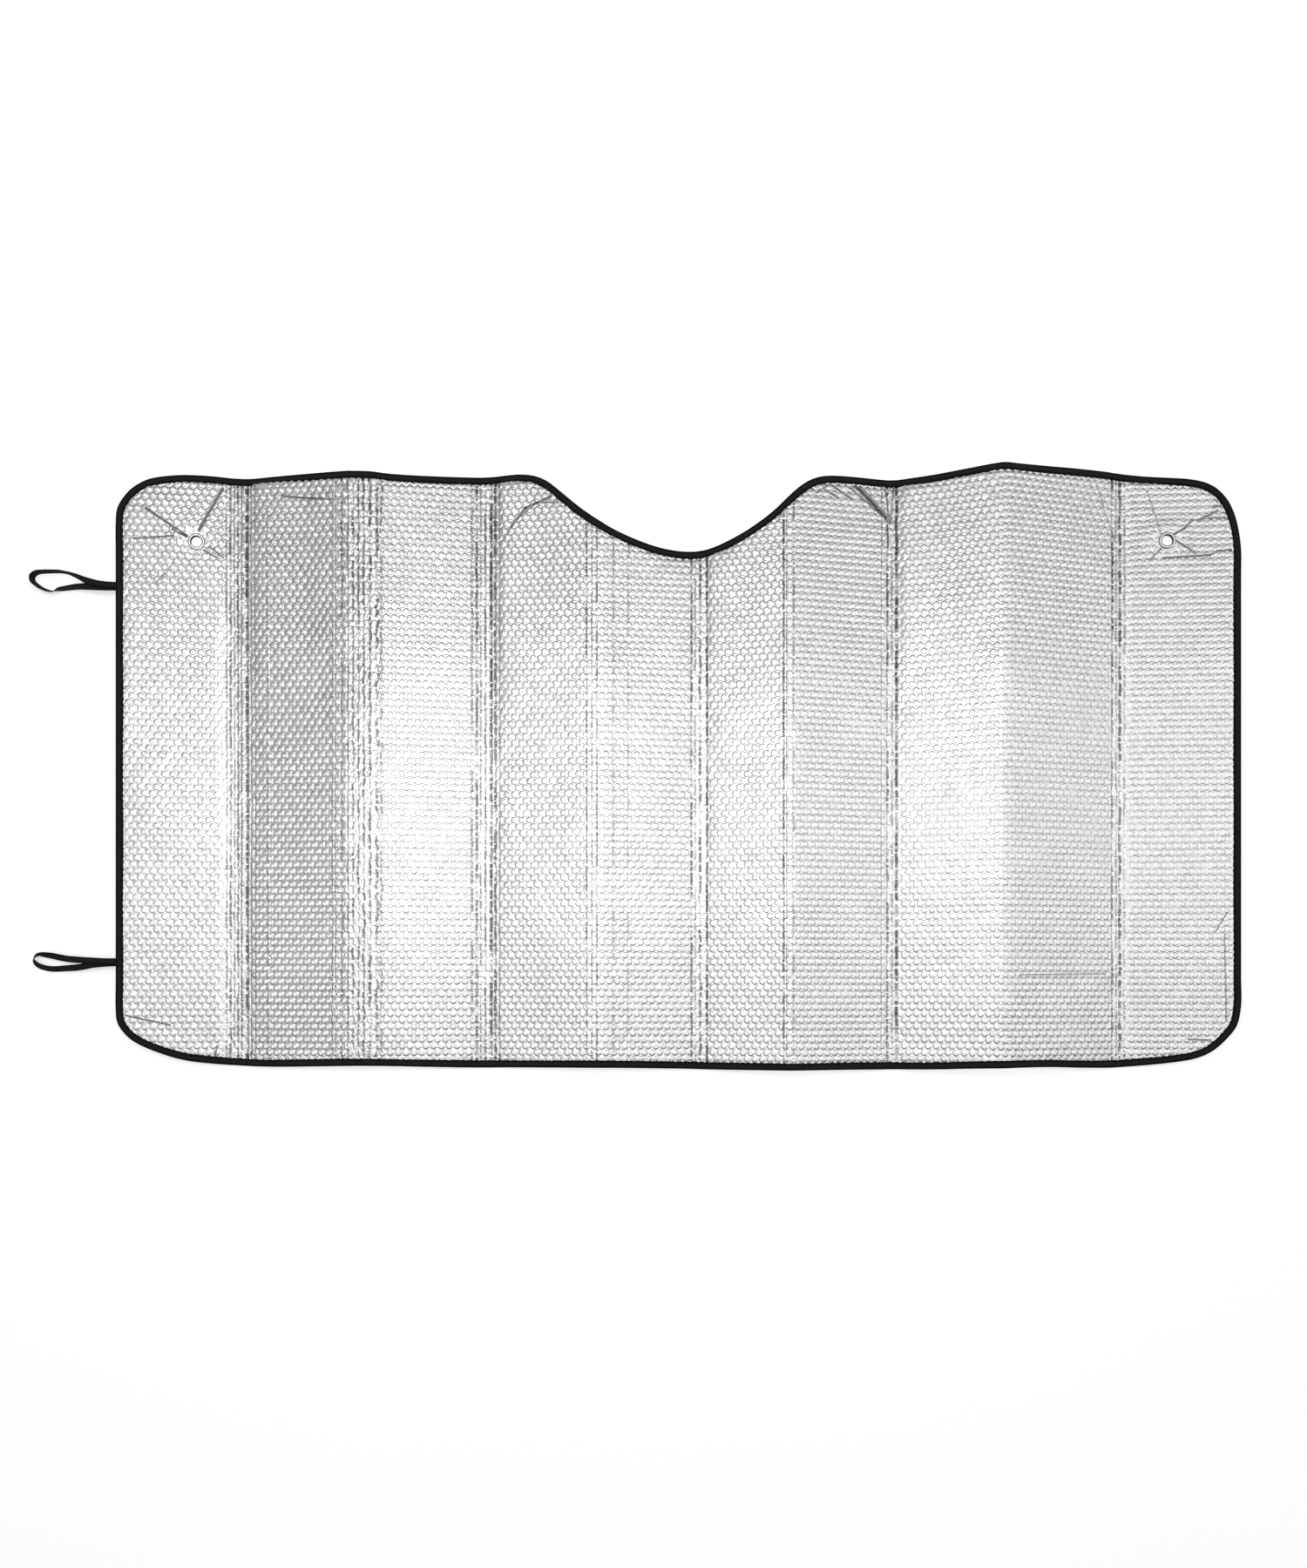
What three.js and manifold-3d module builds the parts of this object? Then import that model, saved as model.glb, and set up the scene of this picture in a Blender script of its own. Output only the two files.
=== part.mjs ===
// Folding windscreen sunshade: a sheet of metallised bubble film with nine
// straight folds, bound all round with black tape. Millimetres, +Z up.
// Origin: middle of the underside of the central valley fold, half way up the
// shade. +X runs along the shade's length, +Y towards its notched top edge.

import * as THREE from 'three';
import { mergeVertices } from 'three/addons/utils/BufferGeometryUtils.js';
import Module from 'manifold-3d';

const wasm = await Module();
wasm.setup();

// ---------------------------------------------------------------------------
// Driving dimensions
// ---------------------------------------------------------------------------
const FILM_T = 4.0;            // bubble film, front face to back face
const HEM_T = 1.0;             // film pressed flat inside the binding
const FILM_EDGE = 1.0;         // film's cut edge, in from the binding's outer edge
const HEM_IN = 8.8;            // where the pressed hem ends
const HEM_OUT = 10.8;          // where the film is back at full thickness

const TAPE_W = 8.0;            // visible width of the binding on each face
const TAPE_T = 0.6;            // thickness of the binding tape
const TAPE_OUT = 1.4;          // mid-plane of the film to the tape's outer face
const TAPE_ROUND = 0.5;        // rounding of the tape's folded edge

const SEAM_D = 5.7;            // seam line, in from the outer edge
const SEAM_W = 0.9;            // width of the laid thread
const SEAM_LO = 1.65;          // thread's lower and upper face from the mid-plane
const SEAM_HI = 1.95;

const EYE_HOLE_R = 6.7;        // clear hole through the eyelet
const EYE_BARREL_R = 7.3;      // outside of the barrel
const EYE_FLANGE_R = 10.2;     // outside of the flange
const EYE_FILM_R = 7.7;        // hole punched in the film
const EYE_PRESS_R = 10.9;      // film pressed flat under the flange out to here
const EYE_BEVEL_R = 14.5;      // film back at full thickness
const EYE_SEG = 22;
const LEFT_EYE = [94.9, 281.8];    // position along the flat film, height
const RIGHT_EYE = [1311.9, 283.9];

const BAND_W = 8.0;            // elastic: width and thickness
const BAND_T = 1.1;

// Pleat line: [x, height of the underside] of each crease, left to right.
const SHIFT_X = 57.25;         // centre of the central valley fold
const SHIFT_Y = 275.0;         // half way up the shade
const PLEAT = [
  [-658.0, 16], [-520.8, 0], [-503.5, 0], [-373.6, 17], [-344.8, 17],
  [-212.9, 0], [-195.6, 0], [-82.3, 15], [-65.2, 15], [50.8, 0],
  [63.7, 0], [162.5, 24], [172.0, 24], [290.7, 0], [301.5, 0],
  [421.4, 35], [428.8, 35], [569.4, 0], [582.4, 0], [722.0, 10],
].map(([x, z]) => [x - SHIFT_X, z]);

// Outline of the bound shade laid flat: [distance from the left edge, height].
const TOP_EDGE = [
  [2, 594.5], [14.3, 614.4], [26.5, 624.7], [38.8, 631.2], [51.2, 634.5],
  [63.5, 636.5], [75.9, 638], [88.3, 638.6], [113, 638.4], [138, 636.9],
  [164.6, 636.0], [192, 637], [240, 638.2], [286, 638.8], [312, 638.2],
  [337, 636.4], [388, 636.2], [451.5, 638], [491, 640.2], [504, 639.4],
  [517.5, 636.4], [530.7, 629.9], [543.8, 619.4], [556.9, 608], [570, 596.8],
  [583, 587.0], [595.8, 578.8], [608.7, 571.4], [621.6, 565.4], [634.5, 560.2],
  [647.5, 555.6], [660.5, 551.6], [673.5, 548.6], [686.6, 546.6], [699.7, 545.7],
  [712.8, 546.2], [725.7, 548.0], [738.9, 551.0], [752, 555.6], [765, 561],
  [778, 567.2], [791, 574.5], [804, 582.7], [816.7, 592.2], [829.5, 603.6],
  [842.5, 615.6], [855.8, 625.2], [869.3, 631], [882.8, 633.6], [910, 634.7],
  [951, 634.4], [977, 634.9], [1015, 636.0], [1052, 638.5], [1088.7, 640.9],
  [1115, 641.0], [1158, 642.2], [1201.7, 643.6], [1245.8, 643.6], [1259, 641.9],
  [1284, 638.6], [1309, 636.4], [1334.5, 634.2], [1347, 632], [1359.5, 628.2],
  [1372, 620.6], [1384.4, 606.1], [1393, 586.5], [1397.6, 566],
].map(([u, y]) => [u, y - SHIFT_Y]);
const LOW_EDGE = [
  [2, -36.9], [14.3, -54.0], [26.5, -62.6], [38.8, -68.6], [51.2, -73.5],
  [63.5, -77.9], [75.9, -81.4], [88.3, -84.0], [113, -86.9], [138, -89.0],
  [164.6, -90.3], [192, -90.7], [240, -90.0], [286, -89.1], [312, -89.0],
  [337, -89.4], [388, -90.8], [451.5, -92.0], [491, -91.6], [608.7, -91.6],
  [699.7, -93.3], [725.7, -94.1], [820, -94.3], [910, -94.1], [951, -94.2],
  [1015, -93.5], [1052, -92.1], [1088.7, -91.0], [1115, -90.3], [1158, -90.1],
  [1201.7, -91.5], [1245.8, -92.1], [1259, -91.2], [1284, -89.2], [1309, -86.6],
  [1334.5, -83.0], [1347, -80.1], [1359.5, -75.2], [1372, -66.9], [1384.4, -54.6],
  [1395, -40.0],
].map(([u, y]) => [u, y - SHIFT_Y]);

// ---------------------------------------------------------------------------
// The pleated mid-surface: (u along the flat film, y, w out of the face) -> 3-D
// ---------------------------------------------------------------------------
const CREASE_U = [0];
for (let i = 1; i < PLEAT.length; i++) {
  CREASE_U.push(CREASE_U[i - 1] + Math.hypot(
    PLEAT[i][0] - PLEAT[i - 1][0], PLEAT[i][1] - PLEAT[i - 1][1]));
}
const FLAT_LENGTH = CREASE_U[CREASE_U.length - 1];
const TANGENT = PLEAT.slice(1).map((p, i) => {
  const L = CREASE_U[i + 1] - CREASE_U[i];
  return [(p[0] - PLEAT[i][0]) / L, (p[1] - PLEAT[i][1]) / L];
});

function surface(u, y, w) {
  let i = 0;
  while (i < TANGENT.length - 1 && u > CREASE_U[i + 1]) i++;
  const [tx, tz] = TANGENT[i];
  let nx = -tz, nz = tx;
  // at a crease the two faces meet on the mitre
  const j = Math.abs(u - CREASE_U[i + 1]) < 1e-6 ? i + 1
    : Math.abs(u - CREASE_U[i]) < 1e-6 ? i - 1 : i;
  if (j !== i && j >= 0 && j < TANGENT.length) {
    const mx = -TANGENT[j][1], mz = TANGENT[j][0];
    const k = 1 + nx * mx + nz * mz;
    nx = (nx + mx) / k;
    nz = (nz + mz) / k;
  }
  const s = u - CREASE_U[i];
  return new THREE.Vector3(
    PLEAT[i][0] + s * tx + w * nx, y,
    PLEAT[i][1] + s * tz + w * nz + FILM_T / 2);
}

// ---------------------------------------------------------------------------
// Outline: one smooth closed line, and distances measured in from it
// ---------------------------------------------------------------------------
function outlinePoints() {
  const R = FLAT_LENGTH;
  const side = (u, ys) => ys.map((y) => [u, y - SHIFT_Y]);
  const loop = [
    ...side(0, [-20, 20, 150, 300, 450, 540, 576]),
    ...TOP_EDGE,
    ...side(R, [545, 510, 300, 120, 20, -16]),
    ...LOW_EDGE.slice().reverse(),
  ];
  const curve = new THREE.CatmullRomCurve3(
    loop.map(([u, y]) => new THREE.Vector3(u, y, 0)), true, 'centripetal');
  let pts = curve.getSpacedPoints(2000).slice(0, -1).map((p) => [p.x, p.y]);
  // soften the kinks between measured points
  for (let pass = 0; pass < 3; pass++) {
    const n = pts.length;
    pts = pts.map((p, i) => [0, 1].map((c) => (
      pts[(i + n - 1) % n][c] + 2 * p[c] + pts[(i + 1) % n][c]) / 4));
  }
  return pts;
}
const OUTLINE = outlinePoints();

function inward(u, y) {                 // distance in from the outline
  let best = 1e9;
  for (let i = 0; i < OUTLINE.length; i++) {
    const a = OUTLINE[i], b = OUTLINE[(i + 1) % OUTLINE.length];
    const dx = b[0] - a[0], dy = b[1] - a[1];
    let t = ((u - a[0]) * dx + (y - a[1]) * dy) / (dx * dx + dy * dy);
    t = Math.max(0, Math.min(1, t));
    const d = Math.hypot(u - a[0] - t * dx, y - a[1] - t * dy);
    if (d < best) best = d;
  }
  return best;
}

function edgeAt(u, top) {               // the outline's height at a column
  let hit = null;
  for (let i = 0; i < OUTLINE.length; i++) {
    const a = OUTLINE[i], b = OUTLINE[(i + 1) % OUTLINE.length];
    if ((a[0] - u) * (b[0] - u) > 0 || a[0] === b[0]) continue;
    const y = a[1] + (u - a[0]) / (b[0] - a[0]) * (b[1] - a[1]);
    if (hit === null || (top ? y > hit : y < hit)) hit = y;
  }
  return hit;
}

// ---------------------------------------------------------------------------
// Stations round the outline. Along the top and bottom they stand on columns,
// so that every crease is crossed on its own line; round the corners they
// stand square to the edge.
// ---------------------------------------------------------------------------
const COLUMN_FIRST = 66, COLUMN_LAST = FLAT_LENGTH - 70;
function columns() {
  const us = new Set();
  for (const c of CREASE_U) if (c > COLUMN_FIRST && c < COLUMN_LAST) us.add(c);
  const creases = [...us];
  const add = (u, gap) => {
    if (creases.every((c) => Math.abs(c - u) > gap)) us.add(u);
  };
  for (let u = COLUMN_FIRST; u < 488; u += 47) add(u, 9);
  for (let u = 492; u < 892; u += 11) add(u, 4.5);
  for (let u = 930; u < COLUMN_LAST; u += 47) add(u, 9);
  us.add(COLUMN_FIRST);
  us.add(COLUMN_LAST);
  return [...us].sort((a, b) => a - b);
}
const COLS = columns();

const OFFSETS = [0, TAPE_ROUND, FILM_EDGE - 0.3, FILM_EDGE,
  SEAM_D - SEAM_W / 2, SEAM_D + SEAM_W / 2, TAPE_W, HEM_IN, HEM_OUT];

function columnStation(u, top) {
  const edge = edgeAt(u, top);
  const s = top ? -1 : 1;
  const at = new Map();
  for (const d of OFFSETS) {
    let lo = d * 0.7, hi = d * 2.4 + 0.01;
    for (let k = 0; k < 30 && d > 0; k++) {
      const m = (lo + hi) / 2;
      if (inward(u, edge + s * m) < d) lo = m; else hi = m;
    }
    at.set(d, [u, edge + s * (d > 0 ? (lo + hi) / 2 : 0)]);
  }
  return { u, top, column: true, at };
}

function cornerStations(pick, count) {  // evenly spaced, square to the edge
  const run = [];
  const n = OUTLINE.length;
  let start = 0;
  while (pick(OUTLINE[start]) || !pick(OUTLINE[(start + 1) % n])) start++;
  for (let i = 1; i <= n && pick(OUTLINE[(start + i) % n]); i++) {
    run.push((start + i) % n);
  }
  const out = [];
  for (let k = 0; k < count; k++) {
    const i = run[Math.round((run.length - 1) * k / (count - 1))];
    const a = OUTLINE[(i + n - 4) % n], b = OUTLINE[(i + 4) % n];
    const L = Math.hypot(b[0] - a[0], b[1] - a[1]);
    const nx = (b[1] - a[1]) / L, ny = -(b[0] - a[0]) / L;
    const at = new Map(OFFSETS.map((d) => [
      d, [OUTLINE[i][0] + d * nx, OUTLINE[i][1] + d * ny]]));
    out.push({ column: false, at });
  }
  return out;
}

const LEFT_TOP = cornerStations(
  ([u, y]) => u < COLUMN_FIRST - 6 && y > 560 - SHIFT_Y, 15);
const LEFT_LOW = cornerStations(
  ([u, y]) => u < COLUMN_FIRST - 6 && y < 0 - SHIFT_Y, 14);
const RIGHT_TOP = cornerStations(
  ([u, y]) => u > COLUMN_LAST + 6 && y > 540 - SHIFT_Y, 15);
const RIGHT_LOW = cornerStations(
  ([u, y]) => u > COLUMN_LAST + 6 && y < 0 - SHIFT_Y, 14);
const TOP = COLS.map((u) => columnStation(u, true));
const LOW = COLS.map((u) => columnStation(u, false)).reverse();

// clockwise from the lower left corner, seen from the front
const RING = [...LEFT_LOW, ...LEFT_TOP, ...TOP, ...RIGHT_TOP, ...RIGHT_LOW, ...LOW];
// the tape and thread need fewer columns along the plain bottom edge
const TRIM_RING = RING.filter((s) => !s.column || s.top
  || s.u <= 488 || s.u >= 892
  || CREASE_U.some((c) => Math.abs(c - s.u) < 1e-6));

// ---------------------------------------------------------------------------
// Helpers: closed meshes and solids
// ---------------------------------------------------------------------------
function closed(points, faces) {
  let volume = 0;
  for (const [a, b, c] of faces) {
    volume += points[a].dot(new THREE.Vector3().crossVectors(points[b], points[c]));
  }
  const index = faces.flatMap(([a, b, c]) => (volume < 0 ? [a, c, b] : [a, b, c]));
  const g = new THREE.BufferGeometry();
  g.setAttribute('position', new THREE.Float32BufferAttribute(
    points.flatMap((p) => [p.x, p.y, p.z]), 3));
  g.setIndex(index);
  return g;
}

function toSolid(geometry) {
  const g = geometry.clone();
  g.deleteAttribute('normal');
  g.deleteAttribute('uv');
  const m = mergeVertices(g, 1e-4);
  return new wasm.Manifold(new wasm.Mesh({
    numProp: 3,
    vertProperties: new Float32Array(m.attributes.position.array),
    triVerts: new Uint32Array(m.index.array),
  }));
}

function fromSolid(solid) {
  const m = solid.getMesh();
  const g = new THREE.BufferGeometry();
  const pos = new Float32Array(m.numVert * 3);
  for (let i = 0; i < m.numVert; i++) {
    for (let c = 0; c < 3; c++) pos[3 * i + c] = m.vertProperties[i * m.numProp + c];
  }
  g.setAttribute('position', new THREE.BufferAttribute(pos, 3));
  g.setIndex(Array.from(m.triVerts));
  return g;
}

function turned(profile, segments) {    // closed profile of [radius, height]
  const pts = [...profile, profile[0]].map(([r, h]) => new THREE.Vector2(r, h));
  const g = new THREE.LatheGeometry(pts, segments);
  g.deleteAttribute('normal');
  g.deleteAttribute('uv');
  const m = mergeVertices(g, 1e-4);
  const p = m.attributes.position;
  const points = [];
  for (let i = 0; i < p.count; i++) points.push(new THREE.Vector3().fromBufferAttribute(p, i));
  const faces = [];
  for (let i = 0; i < m.index.count; i += 3) {
    const f = [m.index.getX(i), m.index.getX(i + 1), m.index.getX(i + 2)];
    if (f[0] !== f[1] && f[1] !== f[2] && f[2] !== f[0]) faces.push(f);
  }
  return closed(points, faces);
}

// frame standing on the film at (u, y): its Y axis is the film's front normal
function frameOn([u, y]) {
  const g = new THREE.Group();
  const o = surface(u, y, 0);
  const n = surface(u, y, 1).sub(o).normalize();
  const t = surface(u + 1, y, 0).sub(o).normalize();
  g.position.copy(o);
  g.quaternion.setFromRotationMatrix(new THREE.Matrix4().makeBasis(
    t, n, new THREE.Vector3().crossVectors(t, n)));
  g.updateMatrixWorld(true);
  return g;
}

// ---------------------------------------------------------------------------
// Film
// ---------------------------------------------------------------------------
function filmGeometry() {
  const points = [];
  const faces = [];
  const rings = [[FILM_EDGE, HEM_T / 2], [HEM_IN, HEM_T / 2], [HEM_OUT, FILM_T / 2]];
  const id = {};                        // id[side][ring][station]
  for (const side of [1, -1]) {
    id[side] = rings.map(([d, w]) => RING.map((s) => {
      const [u, y] = s.at.get(d);
      points.push(surface(u, y, side * w));
      return points.length - 1;
    }));
  }
  const n = RING.length;
  const quad = (a, b, c, d) => faces.push([a, b, c], [a, c, d]);
  for (let k = 0; k < n; k++) {
    const m = (k + 1) % n;
    quad(id[1][0][m], id[1][0][k], id[-1][0][k], id[-1][0][m]);   // cut edge
    for (let r = 0; r < 2; r++) {
      quad(id[1][r][k], id[1][r][m], id[1][r + 1][m], id[1][r + 1][k]);
      quad(id[-1][r][m], id[-1][r][k], id[-1][r + 1][k], id[-1][r + 1][m]);
    }
  }
  // broad faces: strips between neighbouring columns, and the two end caps
  const topAt = LEFT_LOW.length + LEFT_TOP.length;
  const c = COLS.length;
  const low = (i) => n - 1 - i;         // the bottom station under column i
  for (let i = 0; i < c - 1; i++) {
    for (const side of [1, -1]) {
      const a = id[side][2][topAt + i], b = id[side][2][topAt + i + 1];
      const d = id[side][2][low(i)], e = id[side][2][low(i + 1)];
      if (side > 0) quad(a, b, e, d); else quad(b, a, d, e);
    }
  }
  const cap = (list) => {
    const flat = list.map((k) => new THREE.Vector2(...RING[k].at.get(HEM_OUT)));
    for (const [a, b, e] of THREE.ShapeUtils.triangulateShape(flat, [])) {
      // earcut keeps the list's own sense; the ring runs clockwise
      const tri = [list[a], list[b], list[e]];
      const area = (flat[b].x - flat[a].x) * (flat[e].y - flat[a].y)
        - (flat[e].x - flat[a].x) * (flat[b].y - flat[a].y);
      if (area > 0) tri.reverse();
      faces.push(tri.map((k) => id[1][2][k]));
      faces.push(tri.slice().reverse().map((k) => id[-1][2][k]));
    }
  };
  cap([low(0), ...Array.from({ length: topAt }, (_, k) => k), topAt]);
  cap(Array.from({ length: n - c - topAt - c + 2 }, (_, k) => topAt + c - 1 + k));

  // the two punched holes, with the film pressed flat round them
  let film = toSolid(closed(points, faces));
  for (const eye of [LEFT_EYE, RIGHT_EYE]) {
    const h = FILM_T / 2, p = HEM_T / 2 + 0.25;
    const out = EYE_BEVEL_R + 2;
    const g = new THREE.LatheGeometry([
      [0, -h - 3], [out + 1, -h - 3], [EYE_BEVEL_R, -h - 0.02], [EYE_PRESS_R, -p],
      [EYE_FILM_R, -p], [EYE_FILM_R, p], [EYE_PRESS_R, p],
      [EYE_BEVEL_R, h + 0.02], [out + 1, h + 3], [0, h + 3],
    ].map(([r, w]) => new THREE.Vector2(r, w)), EYE_SEG);
    g.applyMatrix4(frameOn(eye).matrixWorld);
    let tool = toSolid(g);
    if (tool.volume() < 0) {
      g.index.array.reverse();
      tool = toSolid(g);
    }
    film = film.subtract(tool);
  }
  return fromSolid(film);
}

// ---------------------------------------------------------------------------
// Binding tape and seam threads: one section swept round the outline
// ---------------------------------------------------------------------------
function sweepRound(section) {
  const points = [];
  const faces = [];
  for (const s of TRIM_RING) {
    for (const [d, w] of section) {
      const [u, y] = s.at.get(d);
      points.push(surface(u, y, w));
    }
  }
  const n = TRIM_RING.length, m = section.length;
  for (let k = 0; k < n; k++) {
    for (let i = 0; i < m; i++) {
      const a = k * m + i, b = k * m + (i + 1) % m;
      const c = ((k + 1) % n) * m + (i + 1) % m, d = ((k + 1) % n) * m + i;
      faces.push([a, b, c], [a, c, d]);
    }
  }
  return closed(points, faces);
}

const TAPE_IN = TAPE_OUT - TAPE_T;
const TAPE_SECTION = [
  [TAPE_W, TAPE_OUT], [TAPE_ROUND, TAPE_OUT], [0, TAPE_IN],
  [0, -TAPE_IN], [TAPE_ROUND, -TAPE_OUT], [TAPE_W, -TAPE_OUT],
  [TAPE_W, -TAPE_IN], [FILM_EDGE - 0.3, -TAPE_IN],
  [FILM_EDGE - 0.3, TAPE_IN], [TAPE_W, TAPE_IN],
];
const seamSection = (side) => [
  [SEAM_D - SEAM_W / 2, side * SEAM_LO], [SEAM_D + SEAM_W / 2, side * SEAM_LO],
  [SEAM_D + SEAM_W / 2, side * SEAM_HI], [SEAM_D - SEAM_W / 2, side * SEAM_HI],
];

// ---------------------------------------------------------------------------
// Eyelets: a flanged barrel pushed through from the front, its end rolled out
// over a washer on the back
// ---------------------------------------------------------------------------
const FLANGE_LO = HEM_T / 2 + 0.25 + 0.3;
const EYELET = [
  [EYE_HOLE_R, -1.9], [EYE_HOLE_R, 1.35], [EYE_HOLE_R + 0.35, 1.78],
  [EYE_HOLE_R + 0.9, 1.95], [EYE_FLANGE_R - 0.9, 1.95], [EYE_FLANGE_R - 0.2, 1.7],
  [EYE_FLANGE_R, 1.3], [EYE_FLANGE_R - 0.15, FLANGE_LO], [EYE_BARREL_R + 0.2, FLANGE_LO],
  [EYE_BARREL_R, 0.85], [EYE_BARREL_R, -1.78], [EYE_BARREL_R + 1.1, -1.78],
  [EYE_BARREL_R + 1.4, -2.0], [EYE_BARREL_R + 1.1, -2.25], [EYE_HOLE_R + 0.4, -2.25],
];
const WASHER = [
  [EYE_BARREL_R + 0.3, -FLANGE_LO], [EYE_FLANGE_R, -FLANGE_LO],
  [EYE_FLANGE_R, -FLANGE_LO - 0.4], [EYE_BARREL_R + 0.3, -FLANGE_LO - 0.4],
];

// ---------------------------------------------------------------------------
// Elastic loops: a flat band folded in half, both ends tucked under the
// binding, coming down to the floor and opening into an eye. Each row is a
// point on the middle of the band and its lean: [x, y, z, degrees]. At 0 the
// band lies flat, at 90 it stands on edge, at 180 it lies flat turned over.
// ---------------------------------------------------------------------------
const UPPER_LOOP = [
  [-708.0, 224.6, 14.3, 0], [-711.5, 224.4, 14.9, 0], [-715.6, 224.3, 15.3, 0],
  [-727.6, 224.7, 15.5, 0], [-739.9, 226.4, 15.8, 8], [-747.2, 228.3, 16.2, 18],
  [-754.5, 230.8, 16.6, 36], [-764.4, 235.5, 17.0, 60], [-775.0, 239.5, 17.2, 80],
  [-784.4, 241.5, 16.9, 95], [-795.3, 241.9, 16.2, 103], [-805.2, 242.1, 15.2, 107],
  [-812.1, 242.0, 14.0, 104], [-817.7, 240.8, 12.4, 92], [-821.6, 238.1, 10.8, 78],
  [-822.6, 234.9, 9.2, 72], [-821.7, 231.8, 7.8, 66], [-819.1, 229.4, 6.6, 70],
  [-814.8, 226.3, 5.6, 80], [-808.5, 223.3, 5.0, 88], [-802.4, 221.7, 4.8, 87],
  [-797.0, 222.0, 5.0, 87], [-790.3, 223.8, 5.7, 94], [-782.6, 224.9, 6.8, 101],
  [-772.6, 226.0, 8.4, 112], [-763.1, 226.4, 10.0, 126], [-753.9, 226.2, 11.4, 148],
  [-741.4, 225.4, 12.8, 168], [-728.5, 224.7, 13.5, 178], [-716.4, 224.6, 13.6, 180],
  [-712.3, 224.7, 13.2, 180], [-708.8, 224.9, 12.6, 180],
];
const LOWER_LOOP = [
  [-708.0, -236.9, 14.3, 0], [-711.5, -236.9, 14.9, 0], [-715.6, -236.8, 15.3, 0],
  [-728.6, -236.9, 14.8, 0], [-742.0, -236.3, 13.8, 2], [-753.3, -235.5, 12.6, 4],
  [-764.9, -234.6, 11.4, 7], [-776.5, -233.5, 10.2, 10], [-788.1, -231.4, 9.0, 14],
  [-798.3, -229.2, 8.0, 21], [-806.8, -228.0, 7.2, 33], [-813.7, -227.6, 6.6, 50],
  [-817.9, -228.5, 6.1, 78], [-821.5, -231.2, 5.7, 108], [-822.5, -234.5, 5.3, 138],
  [-820.9, -237.9, 4.8, 147], [-817.0, -241.1, 4.4, 149], [-811.3, -243.3, 4.1, 148],
  [-803.9, -244.9, 4.0, 148], [-795.7, -245.2, 4.0, 147], [-787.4, -244.7, 4.6, 152],
  [-778.2, -244.1, 5.8, 160], [-768.9, -243.3, 7.2, 166], [-759.6, -241.8, 8.6, 172],
  [-750.3, -239.9, 10.0, 176], [-739.0, -238.6, 11.6, 179], [-727.5, -237.8, 12.8, 180],
  [-716.4, -237.2, 13.5, 180], [-712.3, -237.2, 13.2, 180], [-708.8, -237.2, 12.6, 180],
];
const BAND_STEPS = 44;

function bandGeometry(rows) {
  const path = new THREE.CatmullRomCurve3(
    rows.map(([x, y, z]) => new THREE.Vector3(x, y, z)), false, 'centripetal');
  const up = new THREE.Vector3(0, 0, 1);
  const points = [];
  const faces = [];
  for (let k = 0; k <= BAND_STEPS; k++) {
    // even steps along the rows, so the tight turn keeps its points
    const q = k / BAND_STEPS;
    const f = q * (rows.length - 1);
    const i = Math.min(rows.length - 2, Math.floor(f));
    const lean = THREE.MathUtils.degToRad(
      rows[i][3] + (f - i) * (rows[i + 1][3] - rows[i][3]));
    const c = path.getPoint(q);
    const t = path.getTangent(q);
    const out = new THREE.Vector3(t.y, -t.x, 0).normalize();  // away from the eye
    const rise = new THREE.Vector3().crossVectors(out, t).normalize();
    if (rise.dot(up) < 0) rise.negate();
    const across = out.clone().multiplyScalar(Math.cos(lean))
      .addScaledVector(rise, Math.sin(lean));
    const thick = new THREE.Vector3().crossVectors(t, across).normalize();
    for (const [a, b] of [[1, 1], [-1, 1], [-1, -1], [1, -1]]) {
      points.push(c.clone().addScaledVector(across, a * BAND_W / 2)
        .addScaledVector(thick, b * BAND_T / 2));
    }
  }
  for (let k = 0; k < BAND_STEPS; k++) {
    for (let i = 0; i < 4; i++) {
      const a = 4 * k + i, b = 4 * k + (i + 1) % 4;
      faces.push([a, b, b + 4], [a, b + 4, a + 4]);
    }
  }
  const e = 4 * BAND_STEPS;
  faces.push([2, 1, 0], [3, 2, 0], [e, e + 1, e + 2], [e, e + 2, e + 3]);
  return closed(points, faces);
}

// ---------------------------------------------------------------------------
// Scene graph
// ---------------------------------------------------------------------------
const FOIL = { color: 0xd9dadc, roughness: 0.36, metalness: 1.0 };
const TAPE = { color: 0x17171a, roughness: 0.9, metalness: 0.0 };
const THREAD = { color: 0x1c1c1f, roughness: 0.7, metalness: 0.0 };
const ELASTIC = { color: 0x131315, roughness: 0.85, metalness: 0.0 };
const METAL = { color: 0xc9c9cb, roughness: 0.28, metalness: 1.0 };

function piece(name, geometry, look) {
  geometry.computeVertexNormals();
  const m = new THREE.Mesh(geometry, new THREE.MeshStandardMaterial(look));
  m.name = name;
  return m;
}

const shade = new THREE.Group();
shade.add(piece('foil_sheet', filmGeometry(), FOIL));
shade.add(piece('edge_binding', sweepRound(TAPE_SECTION), TAPE));
shade.add(piece('front_seam_thread', sweepRound(seamSection(1)), THREAD));
shade.add(piece('back_seam_thread', sweepRound(seamSection(-1)), THREAD));
shade.add(piece('upper_elastic_loop', bandGeometry(UPPER_LOOP), ELASTIC));
shade.add(piece('lower_elastic_loop', bandGeometry(LOWER_LOOP), ELASTIC));
for (const [side, eye] of [['left', LEFT_EYE], ['right', RIGHT_EYE]]) {
  const stand = frameOn(eye);
  stand.add(piece(`${side}_eyelet`, turned(EYELET, EYE_SEG), METAL));
  stand.add(piece(`${side}_eyelet_washer`, turned(WASHER, EYE_SEG), METAL));
  shade.add(stand);
}

export default shade;
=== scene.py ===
# Folding windscreen sunshade of silver bubble film, lying open on a white
# floor. Flat coordinates (u along the length, v up the height) are in
# millimetres; everything that reaches Blender is in metres.
import math
import bpy
import numpy as np
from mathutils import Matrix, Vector, kdtree


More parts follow.
